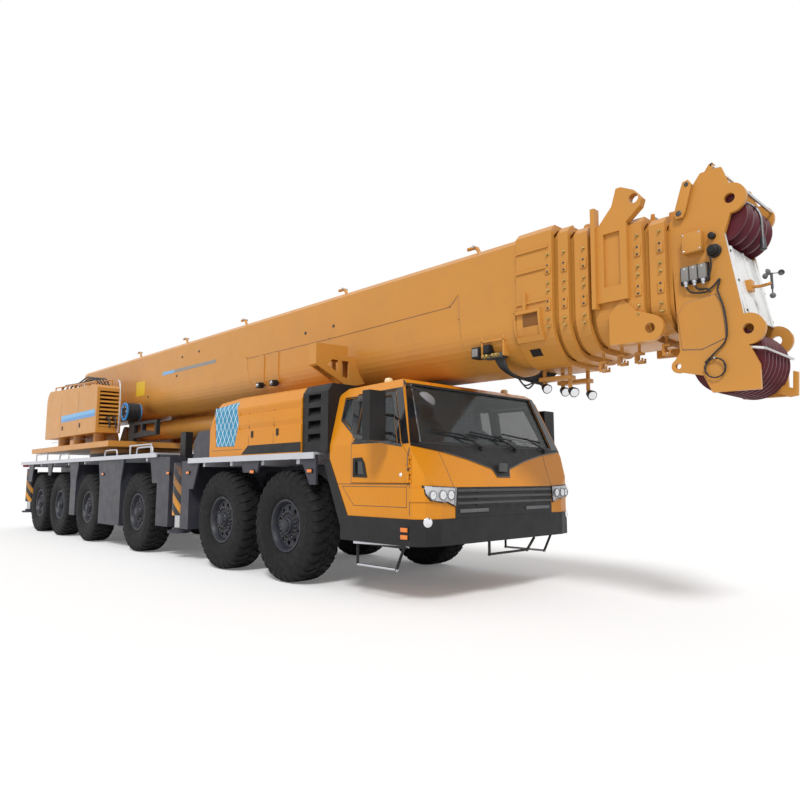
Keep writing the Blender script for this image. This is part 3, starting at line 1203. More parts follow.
@dataclass
class Carrier:
    """Side markers, latches, the boom rest's pad, rear lamps and deck fittings."""

    reach: float = 1.8
    markers: tuple[float, ...] = (4.42, 3.05, 1.05, 0.30, -1.55, -2.85, -5.10, -7.35)
    latches: tuple[float, ...] = (0.62, -1.0, -3.4, -3.75, -5.9, -8.2)
    beam_back: float = -9.201

    def build(self) -> None:
        """Makes every fitting."""
        for side in Side:
            self.side_fittings(side)
        self.rest_pad()
        self.deck_fittings()
        self.rear()

    def side_fittings(self, side: Side) -> None:
        """Makes lamps, latches and seams of one side."""
        s = side.value
        piece = Piece(f"side_fittings_{side.word}", "carrier", "lamp")
        for x in self.markers:
            spot = touch("side_lockers", Vector((x, s * self.reach, 1.42)), Vector((0.0, -s, 0.0)))
            if spot is not None:
                low, high = side.span(abs(spot.y) - 0.004, abs(spot.y) + 0.016)
                piece.box((x - 0.055, low, 1.392), (x + 0.055, high, 1.448), Look.BLACK)
                low, high = side.span(abs(spot.y) + 0.010, abs(spot.y) + 0.024)
                piece.box((x - 0.045, low, 1.400), (x + 0.045, high, 1.440), Look.AMBER_LENS)
        for x in self.latches:
            spot = touch("side_lockers", Vector((x, s * self.reach, 1.05)), Vector((0.0, -s, 0.0)))
            if spot is not None:
                low, high = side.span(abs(spot.y) - 0.004, abs(spot.y) + 0.012)
                piece.box((x - 0.030, low, 0.99), (x + 0.030, high, 1.11), Look.STEEL)
                piece.bolt((x, s * (abs(spot.y) + 0.011), 1.07), Vector((0.0, s, 0.0)), 0.014, 0.012, Look.DARK_STEEL)
        piece.done()

    def rest_pad(self) -> None:
        """Makes the rubber pad between the boom rest and the boom's belly."""
        across = [-0.30 + 0.06 * k for k in range(11)]
        under, over = [], []
        for y in across:
            rest = touch("chassis_frame", Vector((4.465, y, 4.5)), Vector((0.0, 0.0, -1.0)))
            belly = touch("boom_base", Vector((4.600, y, 1.0)), Vector((0.0, 0.0, 1.0)))
            if rest is not None and belly is not None and belly.z - rest.z > 0.012:
                under.append((y, rest.z - 0.003))
                over.append((y, belly.z - 0.006))
        piece = Piece("boom_rest_pad", "carrier", "tyre")
        piece.prism([*under, *reversed(over)], Axis.X, 4.335, 4.595, Look.HOSE, bevel=0.0)
        piece.done()

    def deck_fittings(self) -> None:
        """Makes grab bars, a tool box and hoses on the deck."""
        piece = Piece("deck_fittings", "carrier", "deck_metal")
        for side in Side:
            y = side.value * 1.40
            for x0, x1 in ((-1.30, -0.55), (-3.00, -2.30), (-6.10, -5.40)):
                path = round_path([(x0, y, 1.74), (x0 + 0.02, y, 1.86), (x0 + 0.10, y, 1.90), (x1 - 0.10, y, 1.90),
                                   (x1 - 0.02, y, 1.86), (x1, y, 1.74)], 6)
                piece.tube(path, 0.016, Look.SILVER)
            for number in range(3):
                y1 = side.value * (0.98 + 0.05 * number)
                piece.tube(round_path([(1.70, y1, 1.86), (1.20, y1, 1.93 + 0.02 * number), (0.70, y1, 1.84),
                                       (0.35, y1, 1.72)]), 0.020, Look.HOSE)
        piece.done()

    def rear(self) -> None:
        """Makes the tail lamps, the tow jaw and the blank plate on the rear face."""
        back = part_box("chassis_frame")[0].x
        piece = Piece("rear_fittings", "carrier", "lamp")
        for side in Side:
            for number, look in enumerate((Look.RED_LENS, Look.AMBER_LENS, Look.WHITE)):
                y0, y1 = side.span(0.98 - 0.15 * number, 1.10 - 0.15 * number)
                piece.box((self.beam_back - 0.028, y0, 1.10), (self.beam_back - 0.004, y1, 1.20), look)
            y0, y1 = side.span(0.66, 1.12)
            piece.box((self.beam_back - 0.016, y0, 1.08), (self.beam_back + 0.01, y1, 1.22), Look.BLACK)
        piece.box((back - 0.012, -0.26, 1.36), (back + 0.01, 0.26, 1.47), Look.WHITE)
        piece.box((back - 0.020, -0.16, 1.03), (back + 0.01, 0.16, 1.29), Look.DARK_STEEL)
        for y in (-0.13, 0.13):
            for z in (1.06, 1.26):
                piece.bolt((back - 0.019, y, z), Vector((-1.0, 0.0, 0.0)), 0.014, 0.014, Look.STEEL)
        jaw = [(back - 0.01, 1.06), (back - 0.01, 1.26), (back - 0.10, 1.22), (back - 0.14, 1.16), (back - 0.10, 1.10)]
        for y in (-0.07, 0.04):
            piece.prism(jaw, Axis.Y, y, y + 0.03, Look.DARK_STEEL)
        piece.tube([(back - 0.10, -0.10, 1.16), (back - 0.10, 0.10, 1.16)], 0.022, Look.STEEL)
        piece.done()


# Upper works


@dataclass
class UpperWorks:
    """Stripe, rails, hoses, reel, rope drum and operator's cab of the slewing part."""

    reach: float = 1.8
    drum: Point = (-8.085, 0.0, 2.510)
    drum_width: float = 0.430
    drum_core: float = 0.235
    rope: float = 0.012
    reel_place: Point = (-3.000, -0.900, 2.750)
    reel_rim: float = 0.190
    reel_core: float = 0.130
    reel_half: float = 0.150
    cab_floor: Point = (-4.130, 1.0975, 2.152)

    def build(self) -> None:
        """Makes every fitting."""
        self.house()
        self.reel()
        self.hoist_rope()
        self.operator_cab()

    def house(self) -> None:
        """Makes the two-tone stripe, the seams, the rails and the hoses of the machine house."""
        node, start = "machine_house", -self.reach
        piece = Piece("house_dress", "superstructure", "boom_paint")
        for z0, z1, look in ((2.673, 2.748, Look.BLUE), (2.748, 2.829, Look.SKY)):
            piece.laid([[(-5.985, z0), (-3.62, z0), (-3.62, z1), (-5.985, z1)]], Axis.Y, start, [node], look)
        for seam in ([(-6.02, 2.20), (-6.06, 2.62), (-6.02, 3.30)], [(-4.75, 2.20), (-4.75, 3.30)],
                     [(-7.20, 2.235), (-3.60, 2.235)]):
            piece.strip(seam, 0.008, Axis.Y, start, [node], Look.DARK_STEEL, 0.0012)
        for x in (-5.90, -4.63):
            piece.laid([[(x, 2.48), (x + 0.06, 2.48), (x + 0.06, 2.58), (x, 2.58)]], Axis.Y, start, [node],
                       Look.BLACK, 0.010)
        piece.done()
        piece = Piece("house_rails_hoses", "superstructure", "boom_paint")
        low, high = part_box(node)
        for y, lift in ((-1.36, 0.10), (-1.02, 0.16)):
            run = []
            for k in range(7):
                x = low.x + 0.35 + 0.50 * k
                top = touch(node, Vector((x, y, 5.0)), Vector((0.0, 0.0, -1.0)))
                foot = top if top is not None else Vector((x, y, high.z))
                run.append(foot + Vector((0.0, 0.0, lift)))
                piece.tube([foot - Vector((0.0, 0.0, 0.01)), run[-1]], 0.014, Look.TAN, 8)
            piece.tube(run, 0.016, Look.TAN)
        for k in range(5):
            y = -1.30 + 0.09 * k
            piece.tube(round_path([(-6.75 + 0.05 * k, y, high.z - 0.06), (-6.35, y, high.z + 0.10 + 0.02 * k),
                                   (-5.50, y + 0.02, high.z + 0.06 + 0.03 * k), (-4.65, y, high.z + 0.13),
                                   (-4.15 - 0.06 * k, y + 0.02, high.z - 0.06)]), 0.017, Look.HOSE)
        grab = [(-3.535, -1.00, 2.35), (-3.44, -1.00, 2.40), (-3.42, -1.00, 3.10), (-3.48, -1.00, 3.42),
                (-3.60, -1.00, 3.50)]
        piece.tube(round_path(grab), 0.016, Look.SILVER)
        for y in (-1.25, -1.12):
            piece.tube(round_path([(-3.53, y, 2.62), (-3.36, y, 2.66), (-3.28, y, 2.55), (-3.26, y, 2.40)]), 0.018,
                       Look.HOSE)
        piece.done()

    def reel(self) -> None:
        """Makes the hose wound on the reel and the blue rims of its flanges."""
        (x, y, z), rim, core, half = self.reel_place, self.reel_rim, self.reel_core, self.reel_half
        place = Matrix.Translation((x, y, z)) @ Matrix.Rotation(-math.pi / 2, 4, "X")
        piece = Piece("reel_and_hose", "superstructure", "black_trim")
        turns = []
        for k in range(9):
            a = -half + 0.024 + (2 * half - 0.048) * k / 8
            turns += [(a - 0.010, core + 0.050), (a, core + 0.066), (a + 0.010, core + 0.050)]
        piece.turned([(turns[0][0], core - 0.01), *turns, (turns[-1][0], core - 0.01)], Look.HOSE, place, 40)
        for end in (-half - 0.006, half - 0.018):
            band = [(end, rim - 0.045), (end, rim + 0.004), (end + 0.024, rim + 0.004), (end + 0.024, rim - 0.045)]
            piece.turned([*band, band[0]], Look.BLUE, place, 48)
            for a, b in ring(6, rim * 0.62):
                piece.bolt((x + a, y + (end if end < 0 else end + 0.018), z + b),
                           Vector((0.0, math.copysign(1.0, end), 0.0)), 0.012, 0.010, Look.STEEL)
        piece.done()

    def hoist_rope(self) -> None:
        """Makes the rope layers on the drum."""
        place = Matrix.Translation(self.drum) @ Matrix.Rotation(-math.pi / 2, 4, "X")
        count = int(2 * self.drum_width / (2 * self.rope)) - 2
        turns = []
        for k in range(count):
            a = -self.drum_width + self.rope * 2 * (k + 1.5)
            turns += [(a - self.rope * 0.8, self.drum_core), (a, self.drum_core + self.rope)]
        piece = Piece("rope_on_drum", "hoist_drum", "rod_steel")
        piece.turned([(turns[0][0], 0.12), *turns, (turns[-1][0], 0.12)], Look.ROPE, place, 48)
        piece.done()

    def operator_cab(self) -> None:
        """Dresses the operator's cab and its door, and gives it a padded seat and levers."""
        middle = Vector((-3.72, 1.10, 2.85))

        def cab_look(at: Vector, way: Vector) -> int:
            """Tells paint, panes, lining and seat apart."""
            if (at - Vector(self.cab_floor)).x < 0.56 and abs(at.y - 1.0975) < 0.26 and at.x < -3.55 and 2.16 < at.z < 3.30:
                return 3
            side_pane = -3.215 < at.x < -2.80 and 2.675 < at.z < 3.495 and at.y > 1.36
            front_pane = 0.808 < at.y < 1.387 and 2.585 < at.z < 3.515 and at.x > -3.30 and way.x * way.x > 0.3
            if side_pane or front_pane:
                return 1
            return 2 if (at - middle).dot(way) < 0.0 else 0

        dress("operator_cab", [Look.AMBER, Look.GLASS, Look.LINER, Look.SEAT], cab_look)
        dress("operator_door", [Look.AMBER, Look.GLASS],
              lambda at, way: int(-3.928 < at.x < -3.342 and 2.712 < at.z < 3.458))
        cab_seat("operator_seat", "superstructure", Vector(self.cab_floor))
        piece = Piece("operator_controls", "superstructure", "black_trim")
        for side in Side:
            x, y, z = self.cab_floor[0] + 0.20, self.cab_floor[1] + side.value * 0.285, self.cab_floor[2]
            piece.box((x - 0.16, y - 0.035, z + 0.30), (x + 0.24, y + 0.035, z + 0.60), Look.BLACK, bevel=0.015)
            piece.tube([(x + 0.16, y, z + 0.59), (x + 0.18, y, z + 0.70)], 0.010, Look.STEEL, 8)
            piece.turned([(0.0, 0.012), (0.02, 0.022), (0.06, 0.024), (0.075, 0.0)], Look.HOSE,
                         Matrix.Translation((x + 0.18, y, z + 0.69)), 16)
        piece.done()
        piece = Piece("operator_door_trim", "operator_door", "black_trim")
        outer = [(-3.965, 2.675), (-3.305, 2.675), (-3.305, 3.495), (-3.965, 3.495)]
        inner = [(-3.932, 2.708), (-3.338, 2.708), (-3.338, 3.462), (-3.932, 3.462)]
        piece.laid(frame_cells(outer, inner), Axis.Y, self.reach, ["operator_door"], Look.GLOSS_BLACK)
        piece.tube(round_path([(-3.34, 1.484, 2.58), (-3.34, 1.510, 2.57), (-3.34, 1.510, 2.42), (-3.34, 1.484, 2.41)]),
                   0.010, Look.BLACK)
        piece.done()


# Boom


@dataclass
class Boom:
    """Seams, doublers, stripes, rope, lamps, hoses and collar fittings of the boom."""

    foot: Point = (-6.575, 0.0, 3.050)
    tilt: float = math.radians(0.85)
    half_width: float = 0.605
    top: float = 1.077
    belly: float = -0.313
    section_step: float = 0.045
    collar_proud: float = 0.032
    collar_ends: tuple[float, ...] = (14.010, 14.175, 14.370, 14.915, 15.110)
    rope: float = 0.012
    sheave: Flat = (15.550, 0.800)
    sheave_radius: float = 0.230

    def __post_init__(self) -> None:
        """Sets the boom's own frame, in which X runs out along it."""
        self.frame = Matrix.Translation(self.foot) @ Matrix.Rotation(self.tilt, 4, "Y")
        self.bodies = ["boom", *(f"boom_section_{k}" for k in range(1, 5)), "boom_head"]

    def build(self) -> None:
        """Makes every fitting."""
        for side in Side:
            self.plates(side)
        self.collars()
        self.hooks()
        self.front_fittings()
        self.rope_guides()
        self.hoist_rope()

    def at(self, along: float, across: float, up: float) -> Vector:
        """Gives a place of the boom's own frame in the row frame."""
        return self.frame @ Vector((along, across, up))

    def plates(self, side: Side) -> None:
        """Makes the weld seams, doublers, stripes and pockets of one side."""
        start, node = side.value * 1.0, ["boom_base"]
        piece = Piece(f"boom_plates_{side.word}", "boom", "boom_paint")

        def lay(corners: Sequence[Flat], look: Look, lift: float) -> None:
            """Lays one flat piece on this side."""
            piece.laid([corners], Axis.Y, start, node, look, lift, place=self.frame)

        seams = [[(7.77, 0.520), (7.88, 0.445), (10.20, 0.450), (12.57, 0.493), (12.693, 0.606)],
                 [(7.88, 0.445), (7.905, 0.260), (8.04, -0.10)], [(12.70, 0.600), (12.716, 0.310), (12.763, -0.10)]]
        for seam in seams:
            piece.strip(seam, 0.014, Axis.Y, start, node, Look.TAN, 0.007, self.frame)
            piece.strip([(a + 0.008, b - 0.009) for a, b in seam], 0.004, Axis.Y, start, node, Look.GREY, 0.0015,
                        self.frame)
        for x0, x1 in ((8.29, 8.45), (8.70, 8.88)):
            lay([(x0, -0.055), (x1, -0.055), (x1, 0.42), (x0 + 0.02, 0.445)], Look.TAN, 0.016)
            y0, y1 = side.span(0.585, 0.680)
            piece.box((x0 + 0.03, y0, -0.12), (x1 - 0.03, y1, -0.03), Look.BLACK, self.frame, 0.010)
            piece.bolt(self.at((x0 + x1) / 2, side.value * 0.679, -0.075), Vector((0.0, side.value, 0.0)), 0.022, 0.02,
                       Look.STEEL)
        lay([(4.385, 0.498), (4.95, 0.498), (4.99, 0.563), (4.425, 0.563)], Look.SKY, 0.002)
        lay([(4.95, 0.498), (6.735, 0.498), (6.775, 0.563), (4.99, 0.563)], Look.GREY, 0.002)
        lay([(3.01, 0.155), (3.48, 0.155), (3.48, 0.475), (3.01, 0.475)], Look.YELLOW, 0.003)
        for x, z in ((3.70, 0.10), (5.10, 0.42), (5.32, 0.78), (6.05, 0.80), (9.60, 0.62), (10.30, 0.62)):
            piece.bolt(self.at(x, side.value * (self.half_width - 0.001), z), Vector((0.0, side.value, 0.0)), 0.020,
                       0.016, Look.DARK_STEEL)
        piece.laid(frame_cells([(13.53, -0.10), (13.89, -0.10), (13.88, 0.235), (13.52, 0.235)],
                               [(13.56, -0.04), (13.86, -0.04), (13.85, 0.200), (13.55, 0.200)]), Axis.Y, start, node,
                   Look.TAN, 0.036, 0.05, self.frame)
        lay([(13.555, 0.060), (13.855, 0.060), (13.855, 0.205), (13.545, 0.205)], Look.UMBER, 0.003)
        lay([(13.555, -0.045), (13.865, -0.045), (13.855, 0.060), (13.555, 0.060)], Look.TAN, 0.012)
        lay([(13.66, 0.235), (13.70, 0.235), (13.70, 0.42), (13.66, 0.42)], Look.TAN, 0.030)
        lay([(13.66, -0.235), (13.79, -0.235), (13.79, -0.170), (13.66, -0.170)], Look.BLACK, 0.008)
        piece.done()

    def collars(self) -> None:
        """Makes bolts, pad covers and rope rollers on each collar."""
        for number, end in enumerate(self.collar_ends):
            piece = Piece(f"collar_fittings_{number}", self.bodies[number], "boom_paint")
            drop = self.section_step * number
            face = self.half_width - drop + self.collar_proud
            ridge = self.top - drop + self.collar_proud
            x = end - 0.045
            for side in Side:
                out = Vector((0.0, side.value, 0.0))
                for z in (0.02, 0.10, 0.40, 0.48, 0.78):
                    piece.bolt(self.at(x, side.value * (face - 0.001), z), out, 0.013, 0.028, Look.BRASS)
                for z in (0.25, 0.63):
                    y0, y1 = side.span(face - 0.003, face + 0.013)
                    piece.box((x - 0.030, y0, z - 0.055), (x + 0.030, y1, z + 0.055), Look.TAN, self.frame)
                    for lift in (-0.035, 0.035):
                        piece.bolt(self.at(x, side.value * (face + 0.012), z + lift), out, 0.009, 0.012, Look.DARK_STEEL)
                y0, y1 = side.span(0.150, 0.168)
                fin = [(x - 0.035, ridge - 0.004), (x + 0.035, ridge - 0.004), (x + 0.016, ridge + 0.115),
                       (x - 0.016, ridge + 0.115)]
                piece.prism(fin, Axis.Y, y0, y1, Look.TAN, self.frame)
            piece.tube([self.at(x, -0.16, ridge + 0.032), self.at(x, 0.16, ridge + 0.032)], 0.024, Look.STEEL, 16)
            piece.tube([self.at(x, -0.16, ridge + 0.092), self.at(x, 0.16, ridge + 0.092)], 0.010, Look.STEEL, 12)
            piece.done()

    def hooks(self) -> None:
        """Makes the four rope hooks that hang below the collars."""
        for number, (along, owner) in enumerate(((14.325, 2), (14.525, 3), (14.707, 3), (14.983, 4)), 1):
            piece = Piece(f"rope_hook_{number}", self.bodies[owner], "boom_paint")
            belly = self.belly + self.section_step * owner - self.collar_proud
            z = belly - 0.075
            clip = [(along - 0.035, z), (along + 0.040, z), (along + 0.040, z - 0.022), (along - 0.012, z - 0.022),
                    (along - 0.012, z - 0.082), (along + 0.034, z - 0.082), (along + 0.034, z - 0.060),
                    (along + 0.050, z - 0.060), (along + 0.050, z - 0.108), (along - 0.035, z - 0.108)]
            for y in (-0.235, -0.175):
                piece.prism(clip, Axis.Y, y, y + 0.016, Look.TAN, self.frame, 0.002)
            piece.tube([self.at(along, -0.198, belly + 0.03), self.at(along, -0.198, z - 0.012)], 0.015, Look.TAN)
            piece.tube([self.at(along + 0.02, -0.24, z - 0.09), self.at(along + 0.02, -0.155, z - 0.09)], 0.008, Look.STEEL)
            piece.done()

    def front_fittings(self) -> None:
        """Makes the valve block, its hoses and the work lamps under the boom's front end."""
        piece = Piece("front_valves_hoses", "boom", "black_trim")
        piece.box((13.03, -0.600, -0.020), (13.37, -0.560, 0.004), Look.TAN, self.frame)
        for x in (13.04, 13.34):
            piece.box((x, -0.600, -0.190), (x + 0.022, -0.500, 0.040), Look.TAN, self.frame)
        piece.box((12.93, -0.640, -0.190), (13.04, -0.500, -0.060), Look.BLACK, self.frame, 0.012)
        piece.box((12.945, -0.648, -0.170), (13.025, -0.636, -0.080), Look.GREY, self.frame)
        piece.box((13.10, -0.640, -0.150), (13.18, -0.500, -0.050), Look.BLACK, self.frame, 0.012)
        piece.box((13.06, -0.590, -0.205), (13.33, -0.480, -0.150), Look.DARK_STEEL, self.frame, 0.008)
        for x in (13.09, 13.14, 13.22, 13.27):
            piece.bolt(self.at(x, -0.589, -0.175), Vector((0.0, -1.0, 0.0)), 0.020, 0.045, Look.BRASS)
        for k in range(6):
            path = [(13.20 + 0.022 * k, -0.545, -0.200), (13.26 + 0.022 * k, -0.500, -0.320 - 0.010 * k),
                    (13.38 + 0.015 * k, -0.360 + 0.020 * k, -0.420 - 0.006 * k),
                    (13.52, -0.230 + 0.035 * k, -0.400 - 0.012 * k), (13.60, -0.180 + 0.050 * k, -0.320)]
            piece.tube([self.at(*p) for p in round_path(path)], 0.014, Look.HOSE)
        for k in range(2):
            loop = [(13.36, -0.34, -0.42), (13.42, -0.30 + 0.05 * k, -0.50 - 0.03 * k), (13.52, -0.24, -0.47),
                    (13.60, -0.21, -0.52)]
            piece.tube([self.at(*p) for p in round_path(loop)], 0.009, Look.HOSE)
        piece.done()
        piece = Piece("work_lamps", "boom", "lamp")
        for side in Side:
            y0, y1 = side.span(0.12, 0.24)
            piece.box((13.56, y0, -0.470), (13.95, y1, -0.425), Look.TAN, self.frame)
            for x in (13.58, 13.90):
                z0, z1 = side.span(0.165, 0.195)
                piece.box((x, z0, -0.560 if x > 13.7 else -0.500), (x + 0.035, z1, -0.300), Look.TAN, self.frame)
            for x, z in ((13.620, -0.540), (13.955, -0.605)):
                aim = Vector((0.70, -0.45, -0.40)).to_track_quat("Z", "Y").to_matrix().to_4x4()
                spot = Matrix.Translation(self.at(x, side.value * 0.18, z)) @ aim
                piece.turned([(-0.060, 0.020), (-0.052, 0.040), (0.010, 0.052), (0.026, 0.054), (0.030, 0.048)],
                             Look.BLACK, spot, 24)
                piece.turned([(0.028, 0.046), (0.032, 0.044), (0.036, 0.0)], Look.CHROME, spot, 24)
        piece.done()

    def rope_guides(self) -> None:
        """Makes the guide posts along the boom's right top edge and the tail roller."""
        piece = Piece("rope_guides", "boom", "boom_paint")
        for along, tall in ((2.80, 0.16), (5.20, 0.14), (7.55, 0.14), (10.40, 0.12), (12.90, 0.12)):
            for side in Side:
                y = side.value * 0.46
                low = self.top - 0.012
                piece.box((along - 0.06, y - 0.04, low), (along + 0.06, y + 0.04, low + 0.024), Look.TAN, self.frame)
                path = [(along + 0.02, y, low), (along - 0.01, y, low + tall * 0.6), (along - 0.06, y, low + tall - 0.006),
                        (along - 0.17, y, low + tall)]
                piece.tube([self.at(*p) for p in round_path(path)], 0.022, Look.TAN)
                piece.tube([self.at(along - 0.05, y - 0.05, low + tall), self.at(along - 0.05, y + 0.05, low + tall)],
                           0.016, Look.STEEL)
        for y in (-0.15, 0.13):
            tail = [(-0.32, self.top - 0.01), (-0.08, self.top - 0.01), (-0.15, self.top + 0.085), (-0.25, self.top + 0.085)]
            piece.prism(tail, Axis.Y, y, y + 0.02, Look.TAN, self.frame)
        piece.tube([self.at(-0.20, -0.14, self.top + 0.04), self.at(-0.20, 0.14, self.top + 0.04)], 0.030, Look.STEEL, 16)
        piece.done()

    def hoist_rope(self) -> None:
        """Makes the taut rope from the drum over the guides to the head, stretching between the sections."""
        stops = [(-0.20, self.top + 0.070 + self.rope)]
        for number, end in enumerate(self.collar_ends):
            stops.append((end - 0.045, self.top - self.section_step * number + self.collar_proud + 0.056 + self.rope))
        wheel, radius = self.sheave, self.sheave_radius + self.rope
        stops.append((wheel[0], wheel[1] + radius))
        owners = ["boom", *self.bodies]
        for number, (a, b) in enumerate(zip(stops, stops[1:])):
            first, last = owners[number], owners[number + 1]
            piece = Piece(f"hoist_rope_{number}", first, "rod_steel")
            count = 60 if number == 0 else 12
            run = [self.at(a[0] + (b[0] - a[0]) * k / count, 0.0, a[1] + (b[1] - a[1]) * k / count)
                   for k in range(count + 1)]
            piece.tube(run, self.rope, Look.ROPE, 8)
            piece.done(across=None if first == last else (last, run[0], run[-1]))
        start, end = Vector((-7.93, 0.0, 2.745)), self.at(*(stops[0][0], 0.0, stops[0][1]))
        run = [start.lerp(end, k / 12) for k in range(13)]
        piece = Piece("hoist_rope_fall", "superstructure", "rod_steel")
        piece.tube(run, self.rope, Look.ROPE, 8)
        piece.done(across=("boom", run[0], run[-1]))
        piece = Piece("rope_end", "boom_head", "rod_steel")
        arc = [(wheel[0] + radius * math.sin(a), wheel[1] + radius * math.cos(a))
               for a in (k * math.pi / 24 for k in range(13))]
        run = [self.at(x, 0.0, z) for x, z in arc]
        run.append(run[-1] + Vector((0.0, 0.0, -0.16)))
        piece.tube(run, self.rope, Look.ROPE, 8)
        piece.turned([(-0.11, 0.016), (-0.10, 0.030), (0.0, 0.022), (0.02, 0.014)], Look.DARK_STEEL,
                     Matrix.Translation(run[-1]), 16)
        piece.done()


@dataclass
class BoomHead:
    """Cases, hoses, wind sensor, guards and the pale front of the boom's head."""

    plate: float = 0.380
    front: float = 8.95

    def build(self) -> None:
        """Makes every fitting."""
        dress("boom_head", [Look.TAN, Look.WHITE],
              lambda at, way: int(way.x > 0.6 and at.x > self.front and 2.62 < at.z < 3.40))
        self.front_panel()
        self.cases()
        self.cables()
        self.wind_sensor()
        self.guards()

    def front_panel(self) -> None:
        """Makes the pale sheet between the plates, with its ribs and bolts."""
        piece = Piece("head_front_panel", "boom_head", "boom_paint")
        top, low = (9.035, 3.360), (9.160, 2.700)
        for rise, y0, y1 in ((0.0, -0.342, 0.342), (0.012, -0.30, -0.27), (0.012, -0.015, 0.015), (0.012, 0.27, 0.30)):
            sheet = [(top[0] + rise, top[1]), (top[0] + rise + 0.012, top[1]), (low[0] + rise + 0.012, low[1]),
                     (low[0] + rise, low[1])]
            piece.prism(sheet, Axis.Y, y0, y1, Look.WHITE, bevel=0.002)
        for share in (0.08, 0.5, 0.92):
            for y in (-0.32, 0.32):
                spot = (top[0] + 0.012 + (low[0] - top[0]) * share, y, top[1] + (low[1] - top[1]) * share)
                piece.bolt(spot, Vector((1.0, 0.0, 0.19)), 0.010, 0.010, Look.DARK_STEEL)
        piece.done()

    def cases(self) -> None:
        """Makes the cases, the connectors and the cover on the right plate."""
        y = -self.plate
        piece = Piece("head_cases", "boom_head", "black_trim")
        piece.box((8.694, y - 0.080, 3.332), (8.868, y + 0.004, 3.522), Look.TAN, bevel=0.014)
        for z in (3.352, 3.502):
            for x in (8.710, 8.852):
                piece.bolt((x, y - 0.079, z), Vector((0.0, -1.0, 0.0)), 0.007, 0.006, Look.STEEL)
        piece.box((8.650, y - 0.030, 3.060), (8.900, y + 0.004, 3.226), Look.BLACK)
        for x in (8.672, 8.748, 8.824):
            piece.box((x, y - 0.075, 3.080), (x + 0.066, y - 0.026, 3.212), Look.GREY, bevel=0.010)
            piece.bolt((x + 0.033, y - 0.074, 3.190), Vector((0.0, -1.0, 0.0)), 0.008, 0.006, Look.STEEL)
            piece.turned([(-0.045, 0.012), (-0.020, 0.014), (-0.018, 0.019), (0.010, 0.019)], Look.SILVER,
                         Matrix.Translation((x + 0.033, y - 0.050, 3.076)), 12)
        side = Matrix.Translation((8.950, y, 3.316)) @ Matrix.Rotation(math.pi / 2, 4, "X")
        piece.turned([(-0.004, 0.060), (0.020, 0.060), (0.026, 0.046), (0.070, 0.044), (0.076, 0.030), (0.090, 0.028)],
                     Look.BLACK, side, 28)
        piece.turned([(-0.004, 0.030), (0.040, 0.030), (0.046, 0.022), (0.048, 0.0)], Look.BLACK,
                     Matrix.Translation((8.940, y, 3.455)) @ Matrix.Rotation(math.pi / 2, 4, "X"), 24)
        cover = [(8.625, 2.48), (8.600, 2.80), (8.665, 2.895), (8.930, 2.925), (8.985, 2.835), (9.000, 2.53), (8.80, 2.46)]
        piece.laid([cover], Axis.Y, -1.0, ["boom_head"], Look.TAN, 0.008)
        piece.strip([*cover, cover[0]], 0.010, Axis.Y, -1.0, ["boom_head"], Look.GREY, 0.0015)
        strap = [(8.640, 3.690), (8.706, 3.690), (8.730, 3.740), (8.800, 3.980), (8.770, 4.030), (8.720, 4.020),
                 (8.700, 3.970), (8.625, 3.740)]
        piece.prism(strap, Axis.Y, y - 0.045, y - 0.022, Look.TAN)
        for x, z, r in ((8.672, 3.735, 0.026), (8.756, 3.988, 0.020)):
            piece.turned([(-0.02, r * 1.5), (0.030, r * 1.5), (0.032, r), (0.050, r), (0.054, r * 0.8)], Look.DARK_STEEL,
                         Matrix.Translation((x, y, z)) @ Matrix.Rotation(math.pi / 2, 4, "X"), 20)
        piece.done()

    def cables(self) -> None:
        """Makes the cables between the cases and a coil that hangs on the lower plate."""
        y = -self.plate - 0.022
        piece = Piece("head_cables", "boom_head", "black_trim")
        runs = [[(8.705, y - 0.028, 3.040), (8.735, y, 2.985), (8.850, y, 2.960), (8.930, y, 3.000), (8.985, y, 3.050),
                 (8.960, y, 2.960)],
                [(8.781, y - 0.028, 3.040), (8.800, y, 3.000), (8.880, y, 2.985), (8.900, y, 2.950)],
                [(8.857, y - 0.028, 3.040), (8.900, y - 0.02, 3.080), (8.930, y - 0.03, 3.170), (8.940, y - 0.06, 3.250)],
                [(8.960, y, 2.960), (9.010, y, 2.750), (9.010, y, 2.520), (8.900, y, 2.400), (8.820, y, 2.330)]]
        for run in runs:
            piece.tube(round_path(run), 0.008, Look.HOSE, 8)
        coil = [(8.905 + x * (1.0 + 0.05 * math.sin(k)), y - 0.004 * (k % 3), 2.275 + z)
                for k, (x, z) in enumerate(ring(36, 0.085) * 3)]
        piece.tube(coil, 0.006, Look.HOSE, 6)
        piece.box((8.895, y - 0.010, 2.355), (8.915, y + 0.024, 2.372), Look.STEEL)
        piece.done()

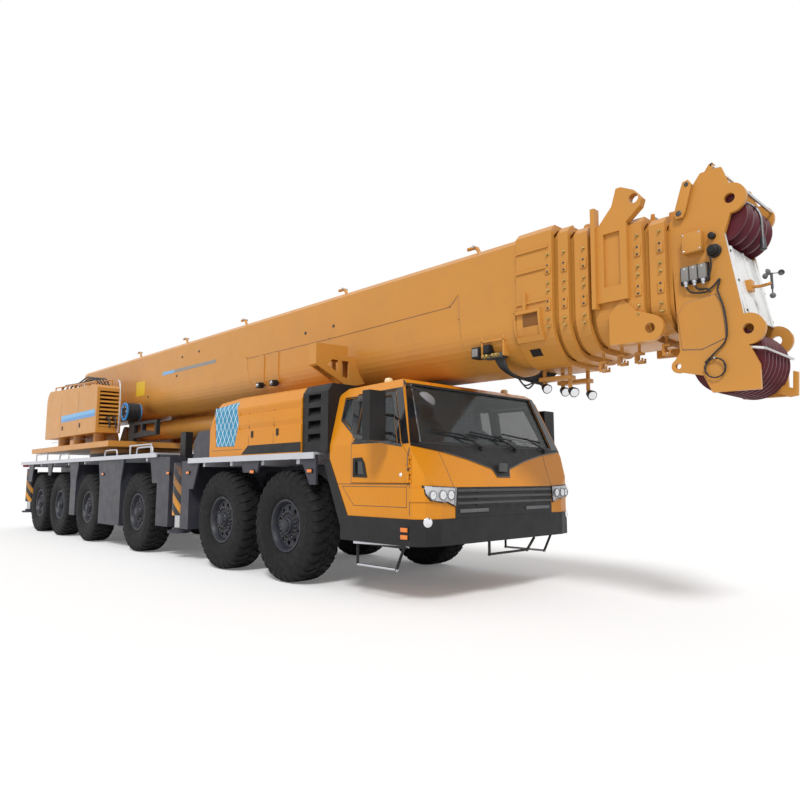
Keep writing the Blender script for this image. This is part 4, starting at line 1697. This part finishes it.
    def wind_sensor(self) -> None:
        """Makes the wind sensor with three cups on its arm at the front."""
        piece = Piece("wind_sensor", "boom_head", "black_trim")
        base = self.front + 0.160
        root, tip = Vector((base, -0.12, 3.010)), Vector((base + 0.200, -0.12, 3.000))
        piece.box((base - 0.005, -0.165, 2.960), (base + 0.050, -0.075, 3.060), Look.TAN)
        piece.tube(round_path([root, root.lerp(tip, 0.5) + Vector((0.0, 0.0, -0.012)), tip]), 0.014, Look.TAN)
        piece.tube([tip - Vector((0.0, 0.0, 0.05)), tip + Vector((0.0, 0.0, 0.09))], 0.011, Look.DARK_STEEL)
        top = tip + Vector((0.0, 0.0, 0.085))
        for x, y in ring(3, 0.075, 0.4):
            cup = top + Vector((x, y, 0.0))
            piece.tube([top, cup], 0.004, Look.DARK_STEEL, 6)
            across = Matrix.Translation(cup) @ Vector((-y, x, 0.0)).to_track_quat("Z", "Y").to_matrix().to_4x4()
            piece.turned([(0.026, 0.0), (0.022, 0.014), (0.010, 0.024), (-0.004, 0.026), (-0.002, 0.023), (0.008, 0.020),
                          (0.020, 0.0)], Look.CASTING, across, 16)
        vane = tip - Vector((0.0, 0.0, 0.11))
        piece.tube([tip - Vector((0.0, 0.0, 0.05)), vane], 0.006, Look.DARK_STEEL, 8)
        piece.turned([(-0.026, 0.0), (-0.018, 0.018), (0.0, 0.026), (0.018, 0.018), (0.026, 0.0)], Look.CASTING,
                     Matrix.Translation(vane), 16)
        piece.done()

    def guards(self) -> None:
        """Makes the rope guards over both sheave packs and the foot bracket."""
        piece = Piece("rope_guards", "boom_head", "boom_paint")
        for side in Side:
            y0, y1 = side.span(0.332, 0.350)
            arm = [(8.800, 3.960), (8.850, 3.930), (8.985, 4.120), (8.960, 4.150), (8.930, 4.140)]
            piece.prism(arm, Axis.Y, y0, y1, Look.TAN)
            y = side.value * 0.341
            piece.tube([(8.955, y, 4.130), (9.215, y, 3.800)], 0.010, Look.STEEL)
            piece.tube([(9.060, y, 2.455), (9.290, side.value * 0.36, 2.400)], 0.012, Look.WHITE)
        piece.tube([(8.955, -0.35, 4.130), (8.955, 0.35, 4.130)], 0.014, Look.STEEL)
        piece.tube([(9.215, -0.35, 3.800), (9.215, 0.35, 3.800)], 0.012, Look.STEEL)
        piece.tube([(9.296, -0.37, 2.398), (9.296, 0.37, 2.398)], 0.012, Look.STEEL)
        foot = [(9.160, 2.095), (9.260, 2.050), (9.330, 2.060), (9.345, 2.270), (9.302, 2.285), (9.290, 2.130), (9.160, 2.180)]
        piece.prism(foot, Axis.Y, 0.318, 0.350, Look.TAN)
        piece.done()


def main() -> None:
    """Builds the crane's looks in order."""
    logging.basicConfig(level=logging.INFO, format="%(message)s")
    for part in (PhotoCamera(), Studio(), Solids(), Wheels(), DriverCab(), EngineHousing(), Carrier(),
                 UpperWorks(), Boom(), BoomHead()):
        LOG.info("building %s", type(part).__name__)
        part.build()


if __name__ == "__main__":
    main()
